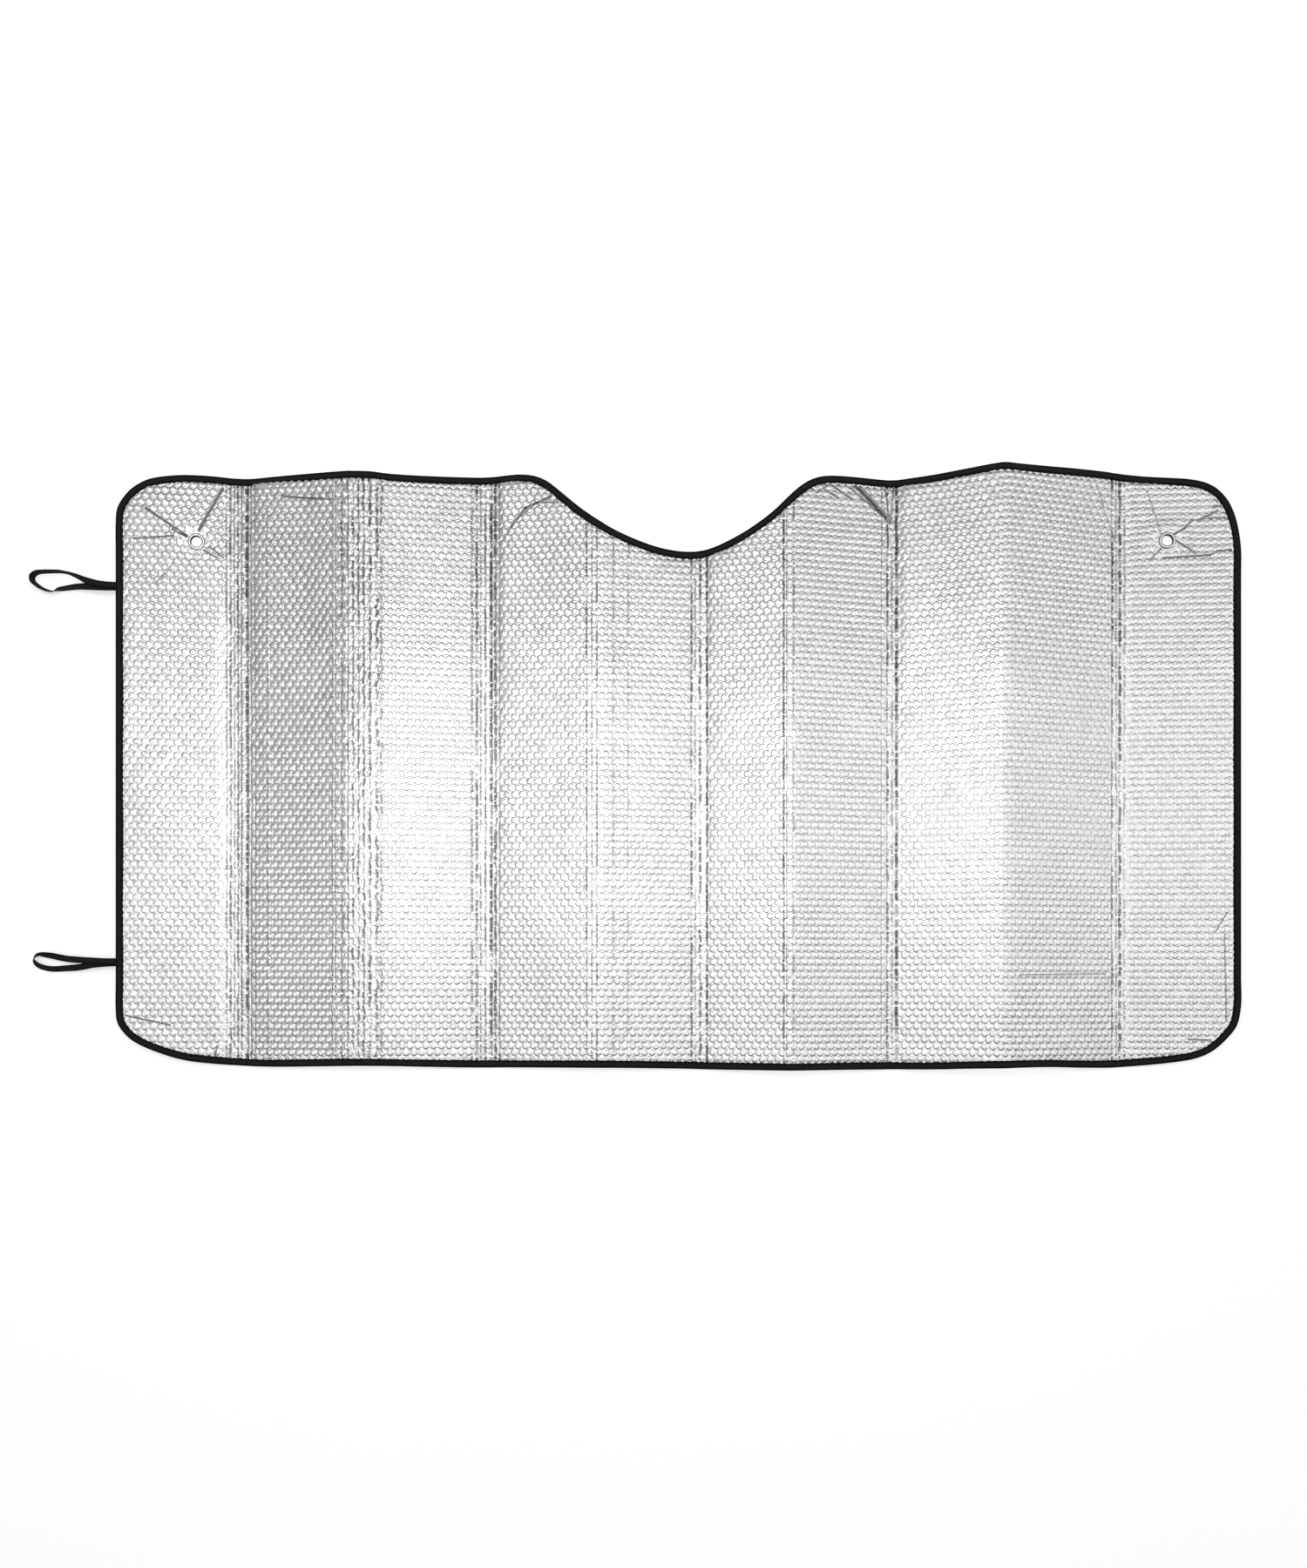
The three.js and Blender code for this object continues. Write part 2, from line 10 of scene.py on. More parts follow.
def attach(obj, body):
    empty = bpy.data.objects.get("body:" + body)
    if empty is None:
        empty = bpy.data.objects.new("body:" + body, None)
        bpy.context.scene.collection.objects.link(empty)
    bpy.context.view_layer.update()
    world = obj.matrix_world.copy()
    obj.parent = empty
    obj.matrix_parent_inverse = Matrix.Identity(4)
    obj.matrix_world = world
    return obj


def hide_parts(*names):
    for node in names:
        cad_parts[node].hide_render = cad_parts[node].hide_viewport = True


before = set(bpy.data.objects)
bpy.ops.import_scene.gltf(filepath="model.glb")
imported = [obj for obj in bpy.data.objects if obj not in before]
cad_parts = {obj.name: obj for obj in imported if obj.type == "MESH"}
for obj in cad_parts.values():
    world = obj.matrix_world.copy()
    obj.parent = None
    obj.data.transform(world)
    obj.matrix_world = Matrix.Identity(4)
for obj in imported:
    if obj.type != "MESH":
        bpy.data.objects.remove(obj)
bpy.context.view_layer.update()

rng = np.random.default_rng(20240611)
MM = 0.001

# ---------------------------------------------------------------------------
# Shape tables
# ---------------------------------------------------------------------------
SHIFT_X, SHIFT_Y = 57.25, 275.0
FILM_T = 4.0
PLEAT = np.array([
    [-658.0, 16], [-520.8, 0], [-503.5, 0], [-373.6, 17], [-344.8, 17],
    [-212.9, 0], [-195.6, 0], [-82.3, 15], [-65.2, 15], [50.8, 0],
    [63.7, 0], [162.5, 24], [172.0, 24], [290.7, 0], [301.5, 0],
    [421.4, 35], [428.8, 35], [569.4, 0], [582.4, 0], [722.0, 10]], float)
PLEAT[:, 0] -= SHIFT_X
TOP_EDGE = [
    [2, 594.5], [14.3, 614.4], [26.5, 624.7], [38.8, 631.2], [51.2, 634.5],
    [63.5, 636.5], [75.9, 638], [88.3, 638.6], [113, 638.4], [138, 636.9],
    [164.6, 636.0], [192, 637], [240, 638.2], [286, 638.8], [312, 638.2],
    [337, 636.4], [388, 636.2], [451.5, 638], [491, 640.2], [504, 639.4],
    [517.5, 636.4], [530.7, 629.9], [543.8, 619.4], [556.9, 608], [570, 596.8],
    [583, 587.0], [595.8, 578.8], [608.7, 571.4], [621.6, 565.4], [634.5, 560.2],
    [647.5, 555.6], [660.5, 551.6], [673.5, 548.6], [686.6, 546.6], [699.7, 545.7],
    [712.8, 546.2], [725.7, 548.0], [738.9, 551.0], [752, 555.6], [765, 561],
    [778, 567.2], [791, 574.5], [804, 582.7], [816.7, 592.2], [829.5, 603.6],
    [842.5, 615.6], [855.8, 625.2], [869.3, 631], [882.8, 633.6], [910, 634.7],
    [951, 634.4], [977, 634.9], [1015, 636.0], [1052, 638.5], [1088.7, 640.9],
    [1115, 641.0], [1158, 642.2], [1201.7, 643.6], [1245.8, 643.6], [1259, 641.9],
    [1284, 638.6], [1309, 636.4], [1334.5, 634.2], [1347, 632], [1359.5, 628.2],
    [1372, 620.6], [1384.4, 606.1], [1393, 586.5], [1397.6, 566]]
LOW_EDGE = [
    [2, -36.9], [14.3, -54.0], [26.5, -62.6], [38.8, -68.6], [51.2, -73.5],
    [63.5, -77.9], [75.9, -81.4], [88.3, -84.0], [113, -86.9], [138, -89.0],
    [164.6, -90.3], [192, -90.7], [240, -90.0], [286, -89.1], [312, -89.0],
    [337, -89.4], [388, -90.8], [451.5, -92.0], [491, -91.6], [608.7, -91.6],
    [699.7, -93.3], [725.7, -94.1], [820, -94.3], [910, -94.1], [951, -94.2],
    [1015, -93.5], [1052, -92.1], [1088.7, -91.0], [1115, -90.3], [1158, -90.1],
    [1201.7, -91.5], [1245.8, -92.1], [1259, -91.2], [1284, -89.2], [1309, -86.6],
    [1334.5, -83.0], [1347, -80.1], [1359.5, -75.2], [1372, -66.9], [1384.4, -54.6],
    [1395, -40.0]]
EYES = [(94.9, 281.8), (1311.9, 283.9)]
UPPER_LOOP = [
    [-708.0, 225.6, 14.3, 0], [-711.5, 225.4, 14.9, 0], [-715.6, 225.4, 15.3, 0],
    [-727.6, 225.9, 15.5, 0], [-739.9, 227.5, 15.8, 8], [-747.2, 229.2, 16.2, 18],
    [-754.5, 231.6, 16.6, 36], [-764.4, 236.0, 17.0, 60], [-775.0, 239.7, 17.2, 80],
    [-784.4, 241.5, 16.9, 79], [-795.3, 241.9, 16.2, 76], [-805.2, 242.1, 15.2, 74],
    [-812.1, 242.0, 14.0, 72], [-817.7, 240.8, 12.4, 68], [-821.6, 238.1, 10.8, 62],
    [-822.6, 234.9, 9.2, 58], [-821.7, 231.8, 7.8, 56], [-819.1, 229.4, 6.6, 56],
    [-814.8, 226.3, 5.6, 58], [-808.5, 223.3, 5.0, 60], [-802.4, 221.7, 4.8, 62],
    [-797.0, 222.0, 5.0, 66], [-790.3, 223.8, 5.7, 108], [-782.6, 224.6, 6.8, 112],
    [-772.6, 225.4, 8.4, 122], [-763.1, 225.6, 10.0, 134], [-753.9, 225.2, 11.4, 152],
    [-741.4, 224.3, 12.8, 168], [-728.5, 223.6, 13.5, 178], [-716.4, 223.5, 13.6, 180],
    [-712.3, 223.6, 13.2, 180], [-708.8, 223.8, 12.6, 180]]
LOWER_LOOP = [
    [-708.0, -236.3, 14.3, 0], [-711.5, -236.3, 14.9, 0], [-715.6, -236.2, 15.3, 0],
    [-728.6, -236.2, 14.8, 0], [-742.0, -235.6, 13.8, 2], [-753.3, -234.9, 12.6, 4],
    [-764.9, -234.1, 11.4, 7], [-776.5, -233.2, 10.2, 10], [-788.1, -231.3, 9.0, 14],
    [-798.3, -229.2, 8.0, 21], [-806.8, -228.0, 7.2, 33], [-813.7, -227.6, 6.6, 50],
    [-817.9, -228.5, 6.1, 78], [-821.5, -231.2, 5.7, 108], [-822.5, -234.5, 5.3, 138],
    [-820.9, -237.9, 4.8, 147], [-817.0, -241.1, 4.4, 149], [-811.3, -243.3, 4.1, 148],
    [-803.9, -244.9, 4.0, 148], [-795.7, -245.2, 4.0, 147], [-787.4, -244.7, 4.6, 152],
    [-778.2, -244.2, 5.8, 160], [-768.9, -243.5, 7.2, 166], [-759.6, -242.2, 8.6, 172],
    [-750.3, -240.5, 10.0, 176], [-739.0, -239.3, 11.6, 179], [-727.5, -238.5, 12.8, 180],
    [-716.4, -238.0, 13.5, 180], [-712.3, -238.0, 13.2, 180], [-708.8, -238.0, 12.6, 180]]

CREASE_U = np.concatenate([[0], np.cumsum(np.hypot(*np.diff(PLEAT, axis=0).T))])
LENGTH = CREASE_U[-1]
# the nine folds: first and last crease of each, +1 for a ridge, -1 for a valley
FOLDS = [(CREASE_U[1 + 2 * k], CREASE_U[2 + 2 * k], -1 if k % 2 == 0 else 1) for k in range(9)]


def smooth01(t):
    t = np.clip(t, 0, 1)
    return t * t * (3 - 2 * t)


# ---------------------------------------------------------------------------
# Pleated mid-surface, its creases rounded over a few millimetres
# ---------------------------------------------------------------------------
STEP = 0.25
grid_u = np.arange(-20, LENGTH + 20 + STEP, STEP)
seg = np.clip(np.searchsorted(CREASE_U, grid_u, side="right") - 1, 0, len(CREASE_U) - 2)
slope = np.arctan2(np.diff(PLEAT[:, 1]), np.diff(PLEAT[:, 0]))[seg]
win = np.hanning(int(7.0 / STEP) | 1)
win /= win.sum()
pad = len(win) // 2
slope = np.convolve(np.pad(slope, pad, mode="edge"), win, mode="valid")
gx = np.concatenate([[0], np.cumsum((np.cos(slope[1:]) + np.cos(slope[:-1])) / 2 * STEP)])
gz = np.concatenate([[0], np.cumsum((np.sin(slope[1:]) + np.sin(slope[:-1])) / 2 * STEP)])
# fit back on the crease points, so that the folds stand where the frame has them
mid = (CREASE_U[:-1] + CREASE_U[1:]) / 2
tx = np.interp(mid, CREASE_U, PLEAT[:, 0])
tz = np.interp(mid, CREASE_U, PLEAT[:, 1]) + FILM_T / 2
gx += np.interp(grid_u, mid, tx - np.interp(mid, grid_u, gx))
gz += np.interp(grid_u, mid, tz - np.interp(mid, grid_u, gz))


def surface(u, v, w):
    """Flat coordinates and height off the face -> row frame, millimetres."""
    s = np.interp(u, grid_u, slope)
    return np.stack([np.interp(u, grid_u, gx) - w * np.sin(s), v + 0 * u,
                     np.interp(u, grid_u, gz) + w * np.cos(s)], -1)


# ---------------------------------------------------------------------------
# Outline
# ---------------------------------------------------------------------------
def catmull_closed(pts, per=30):
    n, out = len(pts), []
    for i in range(n):
        p = [pts[(i + k - 1) % n] for k in range(4)]
        d = [max(np.linalg.norm(p[k + 1] - p[k]) ** 0.5, 1e-4) for k in range(3)]
        t1 = ((p[1] - p[0]) / d[0] - (p[2] - p[0]) / (d[0] + d[1]) + (p[2] - p[1]) / d[1]) * d[1]
        t2 = ((p[2] - p[1]) / d[1] - (p[3] - p[1]) / (d[1] + d[2]) + (p[3] - p[2]) / d[2]) * d[1]
        t = (np.arange(per) / per)[:, None]
        out.append(p[1] + t1 * t + (-3 * p[1] + 3 * p[2] - 2 * t1 - t2) * t ** 2
                   + (2 * p[1] - 2 * p[2] + t1 + t2) * t ** 3)
    return np.concatenate(out)


loop = ([[0, y] for y in (-20, 20, 150, 300, 450, 540, 576)] + TOP_EDGE
        + [[LENGTH, y] for y in (545, 510, 300, 120, 20, -16)] + LOW_EDGE[::-1])
loop = np.array(loop, float) - [0, SHIFT_Y]
dense = catmull_closed(loop)
arc = np.concatenate([[0], np.cumsum(np.linalg.norm(np.diff(np.vstack([dense, dense[:1]]), axis=0), axis=1))])
even = np.arange(2000) * arc[-1] / 2000
OUT = np.stack([np.interp(even, arc, np.append(dense[:, k], dense[0, k])) for k in (0, 1)], 1)
for _ in range(3):
    OUT = (np.roll(OUT, 1, 0) + 2 * OUT + np.roll(OUT, -1, 0)) / 4
PERIMETER = np.linalg.norm(OUT - np.roll(OUT, -1, 0), axis=1).sum()
OUT_T = np.roll(OUT, -3, 0) - np.roll(OUT, 3, 0)
OUT_T /= np.linalg.norm(OUT_T, axis=1)[:, None]
OUT_N = np.stack([OUT_T[:, 1], -OUT_T[:, 0]], 1)          # points into the film
tree = kdtree.KDTree(len(OUT))
for i, p in enumerate(OUT):
    tree.insert((p[0], p[1], 0), i)
tree.balance()


def inward(p):
    """Signed distance in from the outline, with the nearest point and its normal."""
    near = np.array([tree.find((a, b, 0))[1] for a, b in p])
    best = np.full(len(p), 1e9)
    foot = np.zeros((len(p), 2))
    norm = np.zeros((len(p), 2))
    for k in (-1, 0):
        a, b = OUT[(near + k) % 2000], OUT[(near + k + 1) % 2000]
        ab = b - a
        t = np.clip(((p - a) * ab).sum(1) / (ab * ab).sum(1), 0, 1)
        q = a + ab * t[:, None]
        d = np.linalg.norm(p - q, axis=1)
        m = d < best
        best[m], foot[m] = d[m], q[m]
        n = OUT_N[(near + k) % 2000] * (1 - t[:, None]) + OUT_N[(near + k + 1) % 2000] * t[:, None]
        norm[m] = n[m]
    norm /= np.linalg.norm(norm, axis=1)[:, None]
    return ((p - foot) * norm).sum(1), foot, norm


# ---------------------------------------------------------------------------
# Soft noise on the flat film
# ---------------------------------------------------------------------------
def soft_noise(u, v, cell_u, cell_v, seed):
    r = np.random.default_rng(seed)
    nu, nv = int(1500 / cell_u) + 6, int(900 / cell_v) + 6
    g = r.standard_normal((nu, nv))
    a, b = (u + 40) / cell_u + 1, (v + 420) / cell_v + 1
    i, j = np.floor(a).astype(int), np.floor(b).astype(int)
    fa, fb = smooth01(a - i), smooth01(b - j)
    i, j = np.clip(i, 0, nu - 2), np.clip(j, 0, nv - 2)
    return ((g[i, j] * (1 - fa) + g[i + 1, j] * fa) * (1 - fb)
            + (g[i, j + 1] * (1 - fa) + g[i + 1, j + 1] * fa) * fb)


# ---------------------------------------------------------------------------
# Bubble film: one closed mesh. Every bubble is a six-sided dome on the real
# staggered pitch, on both faces; the two faces join round the edge and round
# the eyelet holes.
# ---------------------------------------------------------------------------
PITCH_U, PITCH_V = 9.5, 7.96
TIP = 5.397                        # centre of a cell to each of its corners
U0, V0 = -9.0, -372.0
NI, NJ = 152, 96


def new_mesh(name, verts, faces, smooth=True):
    me = bpy.data.meshes.new(name)
    me.from_pydata(verts.tolist(), [], faces.tolist() if hasattr(faces, "tolist") else faces)
    me.polygons.foreach_set("use_smooth", np.full(len(me.polygons), smooth))
    me.update()
    ob = bpy.data.objects.new(name, me)
    bpy.context.scene.collection.objects.link(ob)
    return ob


def add_uv(me, name, coords):
    layer = me.uv_layers.new(name=name)
    vi = np.zeros(len(me.loops), np.int32)
    me.loops.foreach_get("vertex_index", vi)
    layer.data.foreach_set("uv", coords[vi].astype(np.float32).ravel())


ii, jj = np.meshgrid(np.arange(NI), np.arange(NJ), indexing="ij")
cu = U0 + ii * PITCH_U + (jj & 1) * PITCH_U / 2
cv = V0 + jj * PITCH_V
centre = np.stack([cu, cv], -1)
top_c = centre + [0, TIP]
low_c = centre - [0, TIP]
lattice = np.concatenate([a.reshape(-1, 2) for a in (centre, top_c, low_c)])
N = NI * NJ


def cell(i, j):
    return i * NJ + j


# corners of a cell, counter-clockwise from the top one: the side corners
# belong to the cells of the rows above and below
odd = jj & 1
il, ir = ii - 1 + odd, ii + odd                 # columns left and right, next row
corner_ids = np.stack([
    N + cell(ii, jj),                           # top
    2 * N + cell(il, jj + 1),                   # upper left: low corner of cell above left
    N + cell(il, jj - 1),                       # lower left: top corner of cell below left
    2 * N + cell(ii, jj),                       # bottom
    N + cell(ir, jj - 1),                       # lower right
    2 * N + cell(ir, jj + 1),                   # upper right
], -1)
inner = (ii > 0) & (ii < NI - 1) & (jj > 0) & (jj < NJ - 1)

flat = lattice.copy()
hole_cells = []
for eye in EYES:
    c = centre.reshape(-1, 2)
    k = np.argmin(np.linalg.norm(c - eye, axis=1))
    hole_cells.append(k)
    shift = np.array(eye) - c[k]
    r = np.linalg.norm(flat - c[k], axis=1)
    flat += shift * (1 - smooth01(r / 48))[:, None]
    d = flat - eye
    r = np.linalg.norm(d, axis=1)
    r2 = r + 3.3 * np.clip(1 - (r - TIP) / 36, 0, 1) ** 2 * (r < 42)
    r2 = np.where(r < 0.01, r, r2)
    flat = np.array(eye) + d * (r2 / np.maximum(r, 1e-6))[:, None]

dist = np.full(len(flat), -50.0)
near_box = (flat[:, 0] > -12) & (flat[:, 0] < LENGTH + 12) & (np.abs(flat[:, 1]) < 385)
dist[near_box], foot, fnorm = inward(flat[near_box])
keep = inner.reshape(-1) & (dist[:N] >= 2.4)
keep[hole_cells] = False
snapped = flat.copy()
sub = flat[near_box]
m = dist[near_box] < 1.0
sub[m] = foot[m] + fnorm[m] * 1.0
snapped[near_box] = sub
flat = snapped
dist = np.maximum(dist, 1.0)

used = np.zeros(3 * N, bool)
cells = np.nonzero(keep)[0]
cc = corner_ids.reshape(-1, 6)[cells]
used[cells] = True
used[cc.ravel()] = True
remap = -np.ones(3 * N, int)
remap[used] = np.arange(used.sum())
P = flat[used]
LAT = lattice[used]
D = dist[used]
is_centre = (np.arange(3 * N) < N)[used]
nv = len(P)
u, v = P[:, 0], P[:, 1]

# how full each bubble stands: less on the folds, hem and eyelets
fold_band = np.ones(nv)
WIDEN = [5, 2, 4, 1, 2, 1, 2, 0, 3]
PRESS = [0.50, 0.55, 0.50, 0.80, 0.55, 0.85, 0.50, 0.95, 0.45]
for (a, b, kind), wide, left in zip(FOLDS, WIDEN, PRESS):
    out = np.maximum(np.maximum(a - wide - u, u - b - wide), 0)
    fold_band = np.minimum(fold_band, left + (1 - left) * smooth01(out / 5.0))
hem = smooth01((D - 8.0) / 3.2)
eye_r = np.min([np.linalg.norm(P - e, axis=1) for e in EYES], axis=0)
eye_f = 0.0 + smooth01((eye_r - 9.5) / 16.0)
relief = 0.60 + 0.40 * smooth01((v - 60) / 230) + 0.12 * smooth01((-v - 120) / 200)
relief = np.where((u > 165) & (u < 292), relief + 0.35, relief)      # crisper on the second panel
fill = fold_band * hem * eye_f * relief
# a strip beside the first fold is stroked nearly flat
inner = 130.0 - 13.0 * smooth01((238 - v) / 75) * (0.6 + 0.4 * smooth01((v + 20) / 120))
fill *= 1 - 0.7 * smooth01((u - inner) / 3.0) * (u < 133) * smooth01((245 - v) / 20)
lump = np.clip(0.93 + 0.14 * soft_noise(u, v, 38, 38, 5) + 0.10 * rng.standard_normal(nv), 0.45, 1.2)

# broad unevenness of the film
wave = (0.55 * soft_noise(u, v, 95, 120, 1) + 0.33 * soft_noise(u, v, 42, 60, 2)
        + 0.10 * soft_noise(u, v, 19, 26, 3))
wave *= smooth01((D - 6) / 30) * smooth01((eye_r - 8) / 25)
wave *= 0.75
for k, rise, run in ((0, 3.2, 15.0), (2, 1.6, 10.0), (4, 1.2, 10.0), (6, 1.8, 10.0), (8, 0.8, 10.0)):
    out = u - FOLDS[k][1] - 0.5
    lift = smooth01(out / run) * (1 - smooth01((out - run) / (run * 4.5)))
    wave += rise * lift * (0.25 + 0.75 * smooth01((v - 20) / 240)) * smooth01((D - 3) / 12)

base = 0.5 + 0.55 * smooth01((D - 8.4) / 2.8)
base = np.where(eye_r < 24, 0.72 + (base - 0.72) * smooth01((eye_r - 10.4) / 7.0), base)
front_w = base + wave + np.where(is_centre, 1.25 * fill * lump, 0.0)
back_w = -base + wave - np.where(is_centre, 0.95 * fill * lump, 0.0)
front = surface(u, v, front_w)
back = surface(u, v, back_w)
back[:, 2] = np.maximum(back[:, 2], 0.15)                # lies on the floor, not in it
front[:, 2] = np.maximum(front[:, 2], back[:, 2] + 0.5)

tri_c = remap[cells]
tri_r = remap[cc]
front_f = np.concatenate([np.stack([tri_c, tri_r[:, k], tri_r[:, (k + 1) % 6]], 1) for k in range(6)])
back_f = front_f[:, ::-1] + nv
edges = np.concatenate([np.stack([tri_r[:, k], tri_r[:, (k + 1) % 6]], 1) for k in range(6)])
key = np.sort(edges, 1)
_, first, count = np.unique(key, axis=0, return_index=True, return_counts=True)
rim = edges[first[count == 1]]
wall = np.concatenate([
    np.stack([rim[:, 1], rim[:, 0], rim[:, 0] + nv], 1),
    np.stack([rim[:, 1], rim[:, 0] + nv, rim[:, 1] + nv], 1)])
foil = new_mesh("foil_sheet_film", np.concatenate([front, back]) * MM,
                np.concatenate([front_f, back_f, wall]))
me = foil.data
add_uv(me, "flat", np.concatenate([P, P]) * MM)
add_uv(me, "cells", np.concatenate([LAT, LAT]) * MM)
full = me.attributes.new("fullness", "FLOAT", "POINT")
full.data.foreach_set("value", np.concatenate([fill, fill]).astype(np.float32))
# the rim of every bubble is a crease in the film
ev = np.zeros(len(me.edges) * 2, np.int32)
me.edges.foreach_get("vertices", ev)
ev = ev.reshape(-1, 2) % nv
both = ~is_centre[ev[:, 0]] & ~is_centre[ev[:, 1]]
sharp = me.attributes.new("sharp_edge", "BOOLEAN", "EDGE")
sharp.data.foreach_set("value", both)


# ---------------------------------------------------------------------------
# Woven binding, swept round the outline in close stations
# ---------------------------------------------------------------------------
def outline_stations(step):
    n = int(round(PERIMETER / step))
    a = np.concatenate([[0], np.cumsum(np.linalg.norm(np.roll(OUT, -1, 0) - OUT, axis=1))])
    s = np.arange(n) * a[-1] / n
    closed = np.vstack([OUT, OUT[:1]])
    nrm = np.vstack([OUT_N, OUT_N[:1]])
    p = np.stack([np.interp(s, a, closed[:, k]) for k in (0, 1)], 1)
    q = np.stack([np.interp(s, a, nrm[:, k]) for k in (0, 1)], 1)
    q /= np.linalg.norm(q, axis=1)[:, None]
    return s, p, q


def swept(name, sections, closed_run, caps=False):
    """sections: stations x ring x 3, in millimetres."""
    n, m, _ = sections.shape
    verts = sections.reshape(-1, 3)
    k = np.arange(n if closed_run else n - 1)[:, None]
    i = np.arange(m)[None, :]
    a = k * m + i
    b = k * m + (i + 1) % m
    c = ((k + 1) % n) * m + (i + 1) % m
    d = ((k + 1) % n) * m + i
    quads = np.stack([a, b, c, d], -1).reshape(-1, 4)
    faces = quads.tolist()
    if caps:
        faces.append(list(range(m))[::-1])
        faces.append([(n - 1) * m + j for j in range(m)])
    ob = new_mesh(name, verts * MM, faces)
    # outward faces
    me = ob.data
    me.calc_loop_triangles()
    vol = 0.0
    for t in me.loop_triangles:
        p0, p1, p2 = (me.vertices[x].co for x in t.vertices)
        vol += p0.dot(p1.cross(p2))
    if vol < 0:
        me.flip_normals()
    return ob


TAPE_W, TAPE_T, TAPE_OUT = 8.0, 0.6, 1.4
s_run, s_p, s_n = outline_stations(2.0)
n_st = len(s_run)
weave_w = (0.34 * np.sin(s_run * 2 * math.pi / 7.4 + 1.2 * np.sin(s_run / 61.0))
           + 0.16 * np.sin(s_run * 2 * math.pi / 4.9 + 0.8))
slow = 0.22 * np.sin(s_run * 2 * math.pi * round(PERIMETER / 170) / PERIMETER)
front_in = TAPE_W + 0.8 + weave_w + slow
back_in = TAPE_W + 0.5 - 0.5 * weave_w + slow
puff = 0.10 * np.sin(s_run * 2 * math.pi / 7.4 + 2.0)
ring = []
for d, w, which in (
        (None, 0.86, 1), (None, 1.22, 1), (-0.5, 1.40, 1), (5.7, 1.28, 1), (3.0, 1.47, 1), (1.0, 1.42, 1),
        (0.10, 1.14, 1), (-0.28, 0.5, 1), (-0.28, -0.5, 0), (0.10, -1.14, 0), (1.0, -1.42, 0),
        (3.0, -1.47, 0), (5.7, -1.28, 0), (-0.5, -1.40, 0), (None, -1.22, 0), (None, -0.86, 0)):
    lim = front_in if which else back_in
    sgn = 1 if which else -1
    if d is None:
        dd, ww = lim, np.full(n_st, w)
    elif d == -0.5:
        dd, ww = lim + d, w + sgn * 0.4 * puff
    else:
        dd, ww = np.full(n_st, d), w + sgn * (puff if d > 2 else 0.3 * puff)
    p = s_p + s_n * np.asarray(dd)[:, None]
    ring.append(surface(p[:, 0], p[:, 1], ww))
binding = swept("edge_binding_tape", np.stack(ring, 1), True)
lay = np.stack([np.repeat(s_run, len(ring)),
                np.tile([8.2, 8.1, 7.6, 5.7, 3.0, 1.0, 0.3, 0.1, -0.4, -0.8, -1.5, -3.5, -6.2, -8.1, -8.6, -8.7], n_st)], 1)
add_uv(binding.data, "tape", lay * MM)


# ---------------------------------------------------------------------------
# Lock stitches on both faces: separate threads dipping into the tape
# ---------------------------------------------------------------------------
def stitches(name, side, offset):
    pitch, length, rad = 4.2, 3.3, 0.34
    n = int(round(PERIMETER / pitch))
    t_run = (np.arange(n) + offset) * PERIMETER / n
    prof = [(-0.5, 0.25, -0.50), (-0.42, 0.75, -0.12), (-0.22, 1.0, 0.06), (0.0, 1.0, 0.12),
            (0.22, 1.0, 0.06), (0.42, 0.75, -0.12), (0.5, 0.25, -0.50)]
    m = 6
    closed = np.vstack([OUT, OUT[:1]])
    nrm = np.vstack([OUT_N, OUT_N[:1]])
    a = np.concatenate([[0], np.cumsum(np.linalg.norm(np.diff(closed, axis=0), axis=1))])
    verts, faces = [], []
    ang = np.arange(m) * 2 * math.pi / m
    for t, scale, lift in prof:
        s = (t_run + t * length) % PERIMETER
        p = np.stack([np.interp(s, a, closed[:, k]) for k in (0, 1)], 1)
        q = np.stack([np.interp(s, a, nrm[:, k]) for k in (0, 1)], 1)
        q /= np.linalg.norm(q, axis=1)[:, None]
        for g in ang:
            d = 5.7 + rad * 1.25 * scale * math.cos(g) + 0.10 * t * 2
            w = side * (1.44 + lift * 0.8 + rad * scale * math.sin(g))
            pp = p + q * np.asarray(d)[..., None]
            verts.append(surface(pp[:, 0], pp[:, 1], np.full(n, w)))
    V = np.stack(verts, 1)                       # n x (7*m) x 3
    per = V.shape[1]
    one = []
    for k in range(len(prof) - 1):
        for i in range(m):
            x, y = k * m + i, k * m + (i + 1) % m
            one.append((x, y, y + m, x + m))
    capa = tuple(range(m))[::-1]
    capb = tuple((len(prof) - 1) * m + i for i in range(m))
    for j in range(n):
        o = j * per
        faces += [tuple(x + o for x in f) for f in one]
        faces.append(tuple(x + o for x in capa))
        faces.append(tuple(x + o for x in capb))
    ob = new_mesh(name, V.reshape(-1, 3) * MM, faces)
    me = ob.data
    me.calc_loop_triangles()
    vol = sum(me.vertices[t.vertices[0]].co.dot(
        me.vertices[t.vertices[1]].co.cross(me.vertices[t.vertices[2]].co)) for t in me.loop_triangles[:2000])
    if vol < 0:
        me.flip_normals()
    return ob


front_stitch = stitches("front_stitches", 1, 0.0)
back_stitch = stitches("back_stitches", -1, 0.5)


